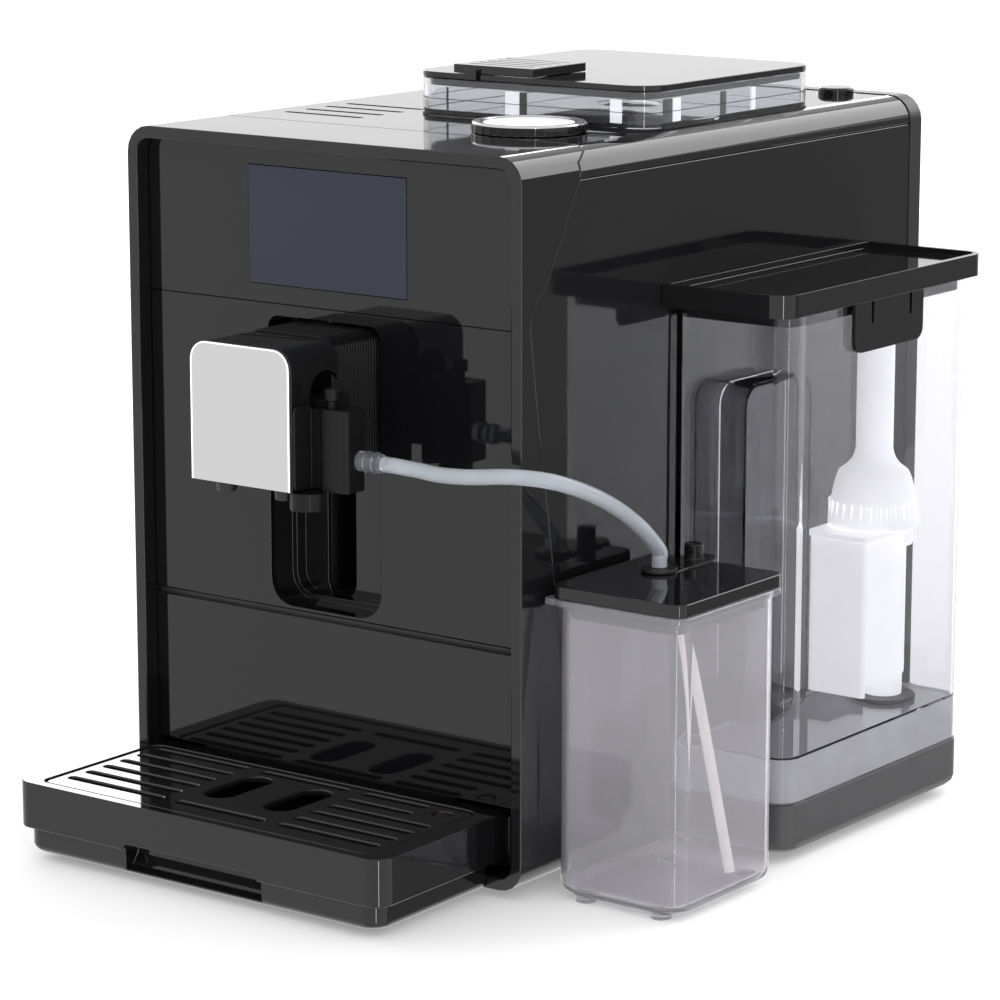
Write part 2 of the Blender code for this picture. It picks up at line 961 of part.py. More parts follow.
def chassis():
    """Plate between drawer and works, with a wall down each side of the drawer."""
    low = (inner_left, panel_back + chassis_front_gap, chassis_top - chassis_plate)
    high = (inner_right, rear_front - chassis_rear_gap, chassis_top)
    frame = slab("chassis", low, high)
    bottom = body_bottom + base_thickness + gap
    front = body_depth * seam_shares[0][0] + gap
    for name, left in (("left", inner_left), ("right", inner_right - chassis_side)):
        low = (left, front, bottom)
        high = (left + chassis_side, rear_front - chassis_rear_gap, chassis_top - overrun)
        join(frame, slab(f"chassis_{name}", low, high))
    low = (drop_left, drop_front, chassis_top - chassis_plate - overrun)
    high = (drop_left + drop_width, drop_front + drop_depth, chassis_top + overrun)
    cut(frame, slab("chassis_drop", low, high, body_corner - rim_width))
    return piece(frame, "grey")


# Spout
def spout_pivot():
    return (spout_middle, block_back, spout_bottom)


def spout_plate():
    low = (plate_left, -spout_front, spout_bottom)
    high = (plate_right, -spout_front + plate_thickness, spout_top)
    plate = slab("spout_plate", low, high, (0, 0, plate_corner, plate_corner), "y")
    return piece(plate, "chrome", spout_pivot())


def spout_cover():
    low = (plate_left, cover_front, spout_bottom)
    high = (plate_right, cover_back, spout_top)
    cover = slab("spout_cover", low, high, (0, 0, plate_corner, plate_corner), "y")
    low = (plate_left + cover_wall, cover_front + cover_wall, spout_bottom - overrun)
    high = (plate_right - cover_wall, cover_back + overrun, spout_top - cover_wall)
    inner = plate_corner - cover_wall
    cut(cover, slab("cover_room", low, high, (0, 0, inner, inner), "y"))
    low = (plate_right - cover_wall - overrun, cover_front + arch_front, spout_bottom - overrun)
    high = (plate_right + overrun, cover_front + arch_front + arch_width, spout_bottom + arch_height)
    arch = arch_width / 2 - gap
    cut(cover, slab("cover_arch", low, high, (0, 0, arch, arch), "x"))
    return piece(cover, "gloss_black", spout_pivot())


def spout_body():
    left = spout_middle - body_block_width / 2
    right = spout_middle + body_block_width / 2
    top = spout_bottom + body_block_top
    low = (left, block_front, spout_bottom)
    high = (right, block_back, top)
    rim = plate_corner - cover_wall
    body = slab("spout_body", low, high, (0, 0, rim, rim), "y")
    low = (left + body_block_wall, block_front + body_block_wall, spout_bottom - overrun)
    high = (right - body_block_wall, block_back - body_block_wall, top - body_block_wall)
    cut(body, slab("spout_room", low, high, 0, "y"))
    low = (slot_middle - stem_width / 2, block_back - body_block_wall / 2, spout_bottom + stem_lift)
    high = (slot_middle + stem_width / 2, recess_back + recess_wall + loose_fit, 0)
    high = (high[0], high[1] + overrun, spout_bottom + stem_lift + stem_height)
    join(body, slab("spout_stem", low, high, 0, "y"))
    back = recess_back + recess_wall + loose_fit
    middle = spout_bottom + stem_lift + stem_height / 2
    low = (slot_middle - carriage_width / 2, back, middle - carriage_height / 2)
    high = (slot_middle + carriage_width / 2, back + carriage_thickness, middle + carriage_height / 2)
    join(body, slab("spout_carriage", low, high, 0, "y"))
    low = (plate_left + cover_wall + gap, cover_front + cover_wall + gap, spout_bottom + arm_lift)
    high = (plate_right - cover_wall - gap, block_front + body_block_wall / 2, 0)
    high = (high[0], high[1], spout_bottom + arm_lift + arm_thickness)
    join(body, slab("spout_arm", low, high))
    for index, side in enumerate((-1, 1)):
        spot = (spout_middle + side * nozzle_spacing / 2, cover_front + nozzle_back)
        bottom = spout_bottom + arm_lift
        ends = (bottom - overrun, bottom + arm_thickness + overrun)
        cut(body, rod(f"nozzle_hole_{index}", spot, nozzle_radius + gap, "z", *ends, small_sides))
    step = body_block_depth / rib_count
    for index in range(rib_count):
        front = block_front + index * step + (step - rib_width) / 2
        low = (right - rim - gap, front, spout_bottom + gap)
        high = (right + rib_rise, front + rib_width, top - gap)
        join(body, slab(f"rib_{index + 1}", low, high, (0, 0, rim + rib_rise, 0), "y"))
    return piece(body, "matte_black", spout_pivot())


def coffee_nozzles():
    for name, side in (("left", -1), ("right", 1)):
        spot = (spout_middle + side * nozzle_spacing / 2, cover_front + nozzle_back)
        low = spout_bottom - nozzle_drop
        seat = spout_bottom + arm_lift + arm_thickness + gap
        top = low + nozzle_length + nozzle_flange_thickness
        profile = [
            (0, low + nozzle_length / 2),
            (nozzle_bore, low + nozzle_length / 2),
            (nozzle_bore, low),
            (nozzle_radius - gap, low),
            (nozzle_radius, low + nozzle_radius / 2),
            (nozzle_radius, seat),
            (nozzle_flange, seat),
            (nozzle_flange, max(top, seat + nozzle_flange_thickness)),
            (0, max(top, seat + nozzle_flange_thickness)),
        ]
        nozzle = turned(f"coffee_nozzle_{name}", spot, profile, "z", small_sides)
        piece(nozzle, "matte_black", (*spot, low))


# Milk adapter
adapter_left = plate_right + gap
adapter_front = cover_front
adapter_bottom = spout_bottom
adapter_block_left = adapter_left + block_left
adapter_block_right = adapter_block_left + block_width
adapter_block_front = adapter_front + flange_depth - cover_wall
adapter_block_back = adapter_block_front + block_depth
adapter_block_top = adapter_bottom + block_height
pin_spot = (
    adapter_block_left + block_width * pin_across_share,
    adapter_block_front + block_depth * pin_back_share,
)
sleeve_spot = (adapter_block_back - sleeve_back - sleeve_radius, adapter_block_top - sleeve_drop)
sleeve_end = adapter_block_right + gap + sleeve_length


def milk_adapter():
    low = (adapter_left, adapter_front, adapter_bottom + flange_lift)
    high = (adapter_left + flange_width, adapter_front + flange_depth, 0)
    high = (high[0], high[1], low[2] + flange_height)
    adapter = slab("milk_adapter", low, high, cover_wall, "x")
    joint_front = adapter_block_front + cover_wall / 2
    low = (adapter_block_left, adapter_block_front, adapter_bottom)
    high = (adapter_block_right, adapter_block_back, adapter_block_top)
    join(adapter, slab("adapter_block", low, high, cover_wall))
    middle = cover_front + arch_front + arch_width / 2
    front = middle - boss_width / 2
    low = (adapter_left - cover_wall - boss_length, front, spout_bottom + arm_lift + arm_thickness + gap)
    high = (adapter_block_left + overrun, front + boss_width, low[2] + boss_height)
    join(adapter, slab("adapter_boss", low, high))
    low = (adapter_left, joint_front, adapter_bottom + flange_lift)
    high = (adapter_block_left + overrun, front + boss_width, low[2] + flange_height - cover_wall)
    join(adapter, slab("adapter_web", low, high))
    top = adapter_block_top
    ends = (top - pin_socket_depth, top + overrun)
    cut(adapter, rod("pin_socket", pin_spot, pin_radius + gap, "z", *ends))
    return piece(adapter, "gloss_black", spout_pivot())


def frother_pin():
    low = adapter_block_top - pin_socket_depth + gap
    neck = adapter_block_top + pin_stem_height
    top = neck + pin_head_height
    profile = [
        (0, low),
        (pin_radius, low),
        (pin_radius, neck),
        (pin_head_radius, neck),
        (pin_head_radius, top - gap),
        (pin_head_radius - gap, top),
        (0, top),
    ]
    pin = turned("frother_pin", pin_spot, profile, "z", small_sides)
    low = (pin_spot[0] - pin_head_radius * 2, pin_spot[1] - gap * 2, top - pin_head_height / 4)
    high = (pin_spot[0] + pin_head_radius * 2, pin_spot[1] + gap * 2, top + overrun)
    cut(pin, slab("pin_slot", low, high))
    return piece(pin, "matte_black", (*pin_spot, adapter_block_top))


outlet_spot = (adapter_left + outlet_right, adapter_front + outlet_radius)


def milk_outlet():
    top = adapter_bottom - gap
    low = top - outlet_height
    profile = [
        (0, top - outlet_wall_top),
        (outlet_bore, top - outlet_wall_top),
        (outlet_bore, low),
        (outlet_radius - gap, low),
        (outlet_radius, low + gap),
        (outlet_radius, top),
        (0, top),
    ]
    return piece(turned("milk_outlet", outlet_spot, profile), "matte_black", (*outlet_spot, low))


def hose_sleeve():
    start = adapter_block_right + gap
    profile = [
        (0, start),
        (sleeve_radius, start),
        (sleeve_radius, sleeve_end - sleeve_radius / 4),
        (hose_radius, sleeve_end),
        (0, sleeve_end),
    ]
    sleeve = turned("hose_sleeve", sleeve_spot, profile, "x", small_sides)
    return piece(sleeve, "hose_blue", (start, *sleeve_spot))


fitting_spot = (jug_left + fitting_right, jug_front + fitting_back)
fitting_top = jug_lid_top + gap + fitting_flange


def spline(points, between):
    """Points on a smooth curve through the given ones."""
    ends = [points[0] * 2 - points[1], *points, points[-1] * 2 - points[-2]]
    found = []
    for index in range(1, len(ends) - 2):
        a, b, c, d = ends[index - 1 : index + 3]
        for step in range(between):
            t = step / between
            even = b * 2 + (c - a) * t
            bend = (a * 2 - b * 5 + c * 4 - d) * t**2
            found.append((even + bend + (b * 3 - a - c * 3 + d) * t**3) / 2)
    return [*found, points[-1]]


def tube(name, points, radius, resolution):
    data = bpy.data.curves.new(name, "CURVE")
    data.dimensions = "3D"
    data.bevel_depth = radius
    data.bevel_resolution = resolution
    data.use_fill_caps = True
    line = data.splines.new("POLY")
    line.points.add(len(points) - 1)
    for slot, point in zip(line.points, points):
        slot.co = (*point, 1)
    made = bpy.data.objects.new(name, data)
    bpy.context.scene.collection.objects.link(made)
    return made


def milk_hose():
    start = Vector((sleeve_end + gap, *sleeve_spot))
    end = Vector((*fitting_spot, fitting_top + gap))
    lead = Vector((hose_radius, 0, 0))
    drop = Vector((0, 0, hose_radius))
    route = [start, start + lead, start + lead * 2]
    for share, back, height in hose_route:
        route.append(Vector((start.x + share * (end.x - start.x), back, height)))
    route += [end + drop * 2, end + drop, end]
    points = spline(route, hose_step_count)
    hose = tube("milk_hose", points, hose_radius, 2)
    hose.data.materials.append(material("hose_blue"))
    return hose


# Milk jug
def jug_pivot():
    return (jug_left + jug_width / 2, jug_front + jug_depth / 2, 0)


def milk_jug():
    low = (jug_left, jug_front, jug_foot_height)
    high = (jug_right, jug_back, jug_height)
    jug = rounded_box("milk_jug", low, high, jug_corner, jug_bottom_edge)
    edge = jug_lid_overhang
    low = (jug_left - edge, jug_front - edge, jug_height - jug_rim_height)
    high = (jug_right + edge, jug_back + edge, jug_height)
    join(jug, slab("jug_rim", low, high, jug_rim_corner))
    low = (jug_left - jug_lip, jug_front - edge / 2, low[2])
    high = (jug_left + edge, low[1] + jug_lip_length, jug_height)
    join(jug, slab("jug_lip", low, high, edge))
    for index, x in enumerate((jug_left + jug_foot_inset, jug_right - jug_foot_inset)):
        for row, y in enumerate((jug_front + jug_foot_back, jug_back - jug_foot_back)):
            ends = (0, jug_foot_height + jug_floor)
            join(jug, rod(f"jug_foot_{index}{row}", (x, y), jug_foot_radius, "z", *ends))
    low = (jug_left + jug_wall, jug_front + jug_wall, jug_foot_height + jug_floor)
    high = (jug_right - jug_wall, jug_back - jug_wall, jug_height + overrun)
    cut(jug, rounded_box("jug_room", low, high, jug_corner - jug_wall, jug_bottom_edge - jug_wall))
    return piece(jug, "clear", jug_pivot())


def jug_lid():
    edge = jug_lid_overhang - jug_lid_inset
    low = (jug_left - edge, jug_front - edge, jug_lid_bottom)
    high = (jug_right + edge, jug_back + edge, jug_lid_top)
    lid = slab("jug_lid", low, high, jug_lid_corner)
    corner = jug_plate_corner
    low = (fitting_spot[0] - fitting_radius, fitting_spot[1], jug_lid_top - jug_lid_height / 2)
    high = (fitting_spot[0] + fitting_radius, jug_back + edge + jug_tab_length, jug_lid_top + jug_plate_rise)
    join(lid, slab("jug_plate", low, high, (0, 0, corner, corner)))
    inset = jug_wall + loose_fit
    low = (jug_left + inset, jug_front + inset, jug_lid_bottom - jug_skirt_height)
    high = (jug_right - inset, jug_back - inset, jug_lid_bottom + overrun)
    join(lid, slab("jug_skirt", low, high, jug_corner - jug_wall))
    inset += jug_skirt_wall
    low = (jug_left + inset, jug_front + inset, jug_lid_bottom - jug_skirt_height - overrun)
    high = (jug_right - inset, jug_back - inset, jug_lid_bottom + jug_lid_height / 2)
    cut(lid, slab("jug_lid_room", low, high, jug_corner - jug_wall - jug_skirt_wall))
    spot = (jug_left + jug_post_right, jug_front + jug_post_back)
    ends = (jug_lid_top - overrun, jug_lid_top + jug_post_height)
    join(lid, rod("jug_post", spot, jug_post_radius, "z", *ends))
    ends = (jug_lid_bottom, jug_lid_top + overrun)
    cut(lid, rod("fitting_hole", fitting_spot, fitting_spigot + gap, "z", *ends))
    ends = (jug_lid_top, jug_lid_top + fitting_flange)
    cut(lid, rod("fitting_seat", fitting_spot, fitting_radius + gap, "z", *ends))
    return piece(lid, "gloss_black", jug_pivot())


def jug_fitting():
    low = jug_lid_top - fitting_drop
    seat = jug_lid_top + gap
    profile = [
        (0, low),
        (fitting_spigot, low),
        (fitting_spigot, seat),
        (fitting_radius, seat),
        (fitting_radius, fitting_top - gap),
        (fitting_radius - gap, fitting_top),
        (0, fitting_top),
    ]
    return piece(turned("jug_fitting", fitting_spot, profile), "matte_black", jug_pivot())


def suction_tube():
    top = jug_lid_top - fitting_drop - gap
    low = jug_foot_height + jug_floor + suction_lift
    route = []
    for lean, drop in zip(suction_lean_shares, suction_drop_shares):
        x = fitting_spot[0] + suction_run * lean
        y = fitting_spot[1] + suction_back * lean
        route.append(Vector((x, y, top - (top - low) * drop)))
    pipe = tube("suction_tube", spline(route, hose_step_count), suction_radius, 2)
    pipe.data.materials.append(material("beige"))
    return pipe


# Water tank
def tank_shelf():
    low = (shelf_left, shelf_front, shelf_bottom)
    high = (shelf_left + shelf_width, shelf_front + shelf_depth, shelf_top)
    shelf = rounded_box("tank_shelf", low, high, (0, shelf_corner, shelf_corner, 0), shelf_edge)
    ends = (shelf_top - socket_depth, shelf_top + overrun)
    cut(shelf, rod("shelf_socket", valve_spot, valve_radius + loose_fit, "z", *ends, round_sides))
    return piece(shelf, "grey")


def tank_pivot():
    return ((tank_left + tank_right) / 2, (tank_front + tank_back) / 2, tank_bottom)


def water_tank():
    inset = tank_skirt_wall
    low = (tank_left, tank_front, tank_bottom)
    high = (tank_right, tank_back, tank_top)
    tank = slab("water_tank", low, high, (0, tank_corner, tank_corner, 0))
    inner = tank_corner - tank_wall
    low = (tank_left + tank_wall, tank_front + tank_wall, tank_floor_top)
    high = (tank_right - tank_wall, tank_back - tank_wall, tank_top + overrun)
    cut(tank, slab("tank_room", low, high, (0, inner, inner, 0)))
    low = (tank_left + inset, tank_front + inset, tank_bottom - overrun)
    high = (tank_right - inset, tank_back - inset, tank_bottom + tank_floor_lift)
    inner = tank_corner - inset
    cut(tank, slab("skirt_room", low, high, (0, inner, inner, 0)))
    ends = (tank_bottom + tank_floor_lift - overrun, tank_floor_top + overrun)
    cut(tank, rod("valve_hole", valve_spot, valve_radius + gap, "z", *ends, round_sides))
    return piece(tank, "clear", tank_pivot())


def tank_valve():
    seat = tank_floor_top + gap
    low = seat - gap - tank_floor - valve_height
    profile = [
        (0, low + valve_height / 2),
        (valve_bore, low + valve_height / 2),
        (valve_bore, low),
        (valve_radius, low),
        (valve_radius, seat),
        (valve_flange, seat),
        (valve_flange, seat + valve_flange_thickness),
        (0, seat + valve_flange_thickness),
    ]
    valve = turned("tank_valve", valve_spot, profile, "z", small_sides)
    return piece(valve, "matte_black", tank_pivot())


def tank_lid():
    low = (tank_lid_left, tank_front - tank_lid_front, tank_lid_bottom)
    high = (tank_lid_right, tank_back + tank_lid_back, tank_lid_bottom + tank_lid_height)
    corner = tank_lid_corner
    lid = slab("tank_lid", low, high, (0, corner, corner, 0))
    rim = tank_lid_rim
    inner = corner - rim
    low = (low[0] + rim, low[1] + rim, high[2] - tank_lid_dish)
    high = (high[0] - rim, high[1] - rim, high[2] + overrun)
    cut(lid, slab("lid_dish", low, high, (0, inner, inner, 0)))
    low = (tank_lid_left + rim, tank_front - tank_lid_front + rim, tank_lid_bottom - overrun)
    high = (tank_lid_right - rim, tank_back + tank_lid_back - rim, 0)
    high = (high[0], high[1], tank_lid_bottom + tank_lid_height - tank_lid_dish - tank_lid_plug_wall)
    cut(lid, slab("lid_under", low, high, (0, inner, inner, 0)))
    inset = tank_wall + loose_fit
    top = tank_lid_bottom + tank_lid_height - tank_lid_dish - tank_lid_plug_wall / 2
    low = (tank_left + inset, tank_front + inset, tank_lid_bottom - tank_lid_plug)
    high = (tank_right - inset, tank_back - inset, top)
    inner = tank_corner - tank_wall
    plug = slab("lid_plug", low, high, (0, inner, inner, 0))
    wall = tank_lid_plug_wall
    low = (low[0] + wall, low[1] + wall, low[2] - overrun)
    high = (high[0] - wall, high[1] - wall, top + overrun)
    cut(plug, slab("lid_plug_room", low, high, (0, inner - wall, inner - wall, 0)))
    join(lid, plug)
    low = (tank_right + gap, tank_front - tank_lid_front + tab_front, tank_lid_bottom - tab_drop)
    high = (low[0] + tab_thickness, low[1] + tab_width, tank_lid_bottom + tank_lid_rim)
    tab = slab("lid_tab", low, high, (tab_corner, tab_corner, 0, 0), "x")
    for index, share in enumerate(tab_slot_shares):
        front = low[1] + share * tab_width
        slot_low = (low[0] - overrun, front - tab_slot_width / 2, tank_lid_bottom - tab_slot_height)
        slot_high = (high[0] + overrun, front + tab_slot_width / 2, tank_lid_bottom - gap)
        cut(tab, slab(f"tab_slot_{index}", slot_low, slot_high))
    join(lid, tab)
    return piece(lid, "gloss_black", tank_pivot())


def filter_body_corners(more):
    x, y = filter_spot
    front = y - filter_body_front
    low = (x - filter_body_width / 2 - more, front - more)
    high = (x + filter_body_width / 2 + more, front + filter_body_depth + more)
    return low, high


def filter_body():
    front = filter_corner
    rear = filter_rear_corner
    low, high = filter_body_corners(0)
    low = (*low, filter_shoulder)
    high = (*high, filter_body_top)
    body = slab("filter_body", low, high, (front, front, rear, rear))
    room_low = (low[0] - overrun, low[1] + filter_notch_wall, low[2] - overrun)
    room_high = (high[0] + overrun, high[1] + overrun, low[2] + filter_notch)
    cut(body, slab("filter_notch", room_low, room_high))
    low, high = filter_body_corners(filter_brim)
    low = (*low, filter_body_top - filter_brim_height)
    high = (*high, filter_body_top)
    join(body, slab("filter_brim", low, high, (front, front, rear, rear)))
    ends = (filter_bottom, filter_shoulder + filter_notch + overrun)
    join(body, rod("filter_neck", valve_spot, filter_neck_radius, "z", *ends))
    return piece(body, "white", tank_pivot())


def filter_cap():
    low = filter_body_top + gap
    top = low + filter_dome_height
    crown = top + filter_stem_height
    stem = filter_stem_radius
    bore = stem - filter_stem_wall
    profile = [(0, low)]
    for out_share, up_share in filter_dome_shares:
        radius = stem + out_share * (filter_cap_radius - stem)
        profile.append((radius, low + up_share * filter_dome_height))
    profile += [(stem, crown), (bore, crown), (bore, top), (0, top)]
    cap = turned("filter_cap", filter_spot, profile)
    start = filter_body_corners(filter_brim)[1][0] + gap * 2
    hook_low = (start, filter_spot[1] - hook_width / 2, low - hook_drop)
    hook_high = (start + hook_thickness, filter_spot[1] + hook_width / 2, low + hook_rise)
    join(cap, slab("cap_hook", hook_low, hook_high, (hook_corner, hook_corner, 0, 0), "x"))
    return piece(cap, "white", tank_pivot())


# Bean hopper
neck_spot = (hopper_left + hopper_neck_right, hopper_front + hopper_neck_back)


def hopper_pivot():
    return (*neck_spot, hopper_top)


def hopper_body():
    low = (hopper_left, hopper_front, hopper_bottom)
    high = (hopper_right, hopper_back, hopper_top)
    hopper = slab("hopper_body", low, high, hopper_corner)
    ends = (hopper_bottom - hopper_neck_drop, hopper_bottom + hopper_floor / 2)
    join(hopper, rod("hopper_neck", neck_spot, hopper_neck_radius, "z", *ends, round_sides))
    wall = hopper_wall
    low = (hopper_left + wall, hopper_front + wall, hopper_bottom + hopper_floor)
    high = (hopper_right - wall, hopper_back - wall, hopper_top + overrun)
    cut(hopper, slab("hopper_room", low, high, hopper_corner - wall))
    ends = (hopper_bottom - hopper_neck_drop - overrun, hopper_bottom + hopper_floor + overrun)
    cut(hopper, rod("hopper_bore", neck_spot, hopper_neck_bore, "z", *ends, round_sides))
    return piece(hopper, "smoke")


lid_bottom = hopper_top + gap
lid_top = lid_bottom + hopper_lid_height
flap_low = (hopper_left + flap_left, hopper_front + flap_front)
flap_high = (flap_low[0] + flap_width, flap_low[1] + flap_depth)


def hopper_lid():
    edge = hopper_lid_overhang
    low = (hopper_left - edge, hopper_front - edge, lid_bottom)
    high = (hopper_right + edge, hopper_back + edge, lid_top)
    lid = slab("hopper_lid", low, high, hopper_corner + edge)
    inset = hopper_wall + loose_fit
    low = (hopper_left + inset, hopper_front + inset, lid_bottom - hopper_lid_plug)
    high = (hopper_right - inset, hopper_back - inset, lid_bottom + overrun)
    skirt = slab("hopper_skirt", low, high, hopper_corner - inset)
    wall = hopper_lid_plug_wall
    low = (low[0] + wall, low[1] + wall, low[2] - overrun)
    high = (high[0] - wall, high[1] - wall, high[2] + overrun)
    cut(skirt, slab("hopper_skirt_room", low, high, hopper_corner - inset - wall))
    join(lid, skirt)
    lip = flap_lip
    low = (flap_low[0] + lip, hopper_front + inset + wall + gap, lid_bottom - overrun)
    high = (flap_high[0] - lip, flap_high[1] - lip, lid_top + overrun)
    cut(lid, slab("flap_opening", low, high, flap_corner))
    return piece(lid, "gloss_black", hopper_pivot())


def lid_flap():
    low = (*flap_low, lid_top + gap)
    high = (*flap_high, low[2] + flap_thickness)
    flap = slab("lid_flap", low, high, flap_corner)
    step = flap_depth / (flap_groove_count + 1)
    for index in range(flap_groove_count):
        middle = low[1] + step * (index + 1)
        groove_low = (low[0] + flap_lip, middle - flap_groove_width / 2, high[2] - flap_groove_depth)
        groove_high = (high[0] - flap_lip, middle + flap_groove_width / 2, high[2] + overrun)
        cut(flap, slab(f"flap_groove_{index}", groove_low, groove_high))
    front = low[1] - flap_lever_length
    left = low[0] + flap_lever_right
    right = left + flap_lever_width
    lever_low = (left, front, low[2])
    join(flap, slab("flap_lever", lever_low, (right, low[1] + gap, low[2] + flap_lever_length)))
    back = hopper_front - hopper_lid_overhang - gap
    lever_low = (left, front, low[2] - flap_lever_drop)
    join(flap, slab("flap_lever_tip", lever_low, (right, back, low[2] + overrun)))
    return piece(flap, "gloss_black", ((low[0] + high[0]) / 2, high[1], high[2]))


# Knob and button
def grind_knob():
    low = body_top + gap
    top = low + knob_height
    profile = [
        (0, low - knob_shaft_length),
        (knob_shaft_radius, low - knob_shaft_length),
        (knob_shaft_radius, low),
        (knob_radius, low),
        (knob_radius, top - gap * 2),
        (knob_radius - gap * 2, top),
        (knob_radius - knob_rim, top),
        (knob_radius - knob_rim - knob_dish, top - knob_dish),
        (0, top - knob_dish),
    ]
    spot = (knob_right, knob_back)
    knob = turned("grind_knob", spot, profile)
    low = (knob_right - knob_dish / 2, knob_back - knob_radius + knob_rim / 2, top - knob_dish)
    high = (knob_right + knob_dish / 2, knob_back - knob_radius + knob_rim * 3, top + overrun)
    cut(knob, slab("knob_mark", low, high))
    return piece(knob, "chrome", (*spot, body_top))


def rear_button():
    low = body_top - skin
    top = body_top + button_height
    stem = body_top - button_stem_length
    profile = [
        (0, stem),
        (button_stem_radius, stem),
        (button_stem_radius, low),
        (button_radius, low),
        (button_radius, top - button_edge),
        (button_radius - button_edge, top),
        (0, top),
    ]
    spot = (button_right, button_back)
    return piece(turned("rear_button", spot, profile), "gloss_black", (*spot, body_top))


# Drip tray
def tray_pivot():
    return (tray_left + tray_width / 2, 0, tray_band_bottom)


def tray_plan(front_inset, side_inset, corner):
    """Outline of the tray in front of the housing, a little wider at its front."""
    front = -tray_front + front_inset
    low = (tray_left + side_inset, front)
    high = (tray_right - side_inset, -gap)
    middle = tray_left + tray_width / 2
    points = []
    for x, y in rounded(low, high, (corner, corner, 0, 0)):
        share = (high[1] - y) / (high[1] - front)
        points.append((x + tray_flare * share * (1 if x > middle else -1), y))
    return points


def tray_base():
    """Lower part of the tray, its bottom edge rounded."""
    outlines = []
    heights = []
    for step in range(slot_steps + 1):
        turn = pi / 2 * step / slot_steps
        inset = tray_base_edge * (1 - sin(turn))
        heights.append(tray_foot + tray_base_edge * (1 - cos(turn)))
        outlines.append(tray_plan(tray_base_front + inset, tray_base_side + inset, tray_corner))
    outlines.append(outlines[-1])
    heights.append(tray_band_bottom + overrun)
    return stack("tray_base", outlines, heights)


def tray_scoop():
    """Hollow for the fingers under the front edge of the tray."""
    top = tray_band_bottom + scoop_height
    front = -tray_front - overrun
    face = -tray_front + tray_base_front
    bottom = tray_foot + scoop_lip
    points = [(front, top), (front, bottom), (face - overrun, bottom)]
    for step in range(slot_steps + 1):
        turn = pi / 2 * step / slot_steps
        points.append((face + scoop_depth * sin(turn), bottom + (top - bottom) * (1 - cos(turn))))
    right = scoop_left + scoop_width
    scoop = prism("tray_scoop", points, "x", scoop_left - overrun, right + overrun, True)
    points = [
        (scoop_left, bottom - overrun),
        (right, bottom - overrun),
        (right, top - scoop_height),
        (right - scoop_slope, top + overrun),
        (scoop_left + scoop_slope, top + overrun),
        (scoop_left, top - scoop_height),
    ]
    return keep(scoop, prism("scoop_ends", points, "y", front - overrun, 0))


def drip_tray():
    tray = prism("drip_tray", tray_plan(0, 0, tray_corner), "z", tray_band_bottom, tray_top, True)
    join(tray, tray_base())
    low = (tray_neck_left, -gap - overrun, tray_band_bottom)
    high = (tray_right - gap, panel_back + overrun, tray_top)
    join(tray, slab("tray_neck", low, high))
    low = (drawer_left, panel_back, drawer_bottom)
    high = (drawer_right, drawer_back, drawer_bottom + drawer_wall_height)
    join(tray, slab("drawer", low, high, (drawer_corner, drawer_corner, 0, 0), "y"))
    left = tray_left + tray_rim_side
    right = tray_right - tray_rim_side
    front = -tray_front + tray_rim_front
    low = (left + tray_ledge, front + tray_ledge, tray_foot + tray_floor)
    high = (right - tray_ledge, -gap - tray_wall, tray_top + overrun)
    cut(tray, slab("tray_room", low, high, grille_front_corner))
    low = (left, front, grille_top - grille_thickness - gap)
    high = (right, grille_rear + grille_clearance, tray_top + overrun)
    cut(tray, slab("grille_seat", low, high, grille_corners(grille_clearance)))
    low = (drawer_left + drawer_wall, panel_back + drawer_wall, drawer_bottom + drawer_floor)
    high = (drawer_right - drawer_wall, drawer_back - drawer_wall, tray_top + overrun)
    cut(tray, slab("drawer_room", low, high, drawer_wall))
    face = -tray_front + tray_base_front
    low = (scoop_left - tray_wall, face + overrun, tray_foot + tray_floor - overrun)
    high = (scoop_left + scoop_width + tray_wall, face + scoop_depth + tray_wall, 0)
    high = (high[0], high[1], tray_band_bottom + scoop_height + tray_wall)
    join(tray, slab("scoop_wall", low, high))
    cut(tray, tray_scoop())
    return piece(tray, "gloss_black", tray_pivot())


def lower_panel():
    low = (panel_left, panel_recess, lower_bottom)
    high = (panel_right, panel_back, lower_top)
    return piece(slab("lower_panel", low, high), "panel_black", tray_pivot())


grille_top = tray_top - tray_rim_gap


def grille_corners(more):
    front = grille_front_corner + more
    rear = grille_rear_corner + more
    return (front, front, rear, rear)


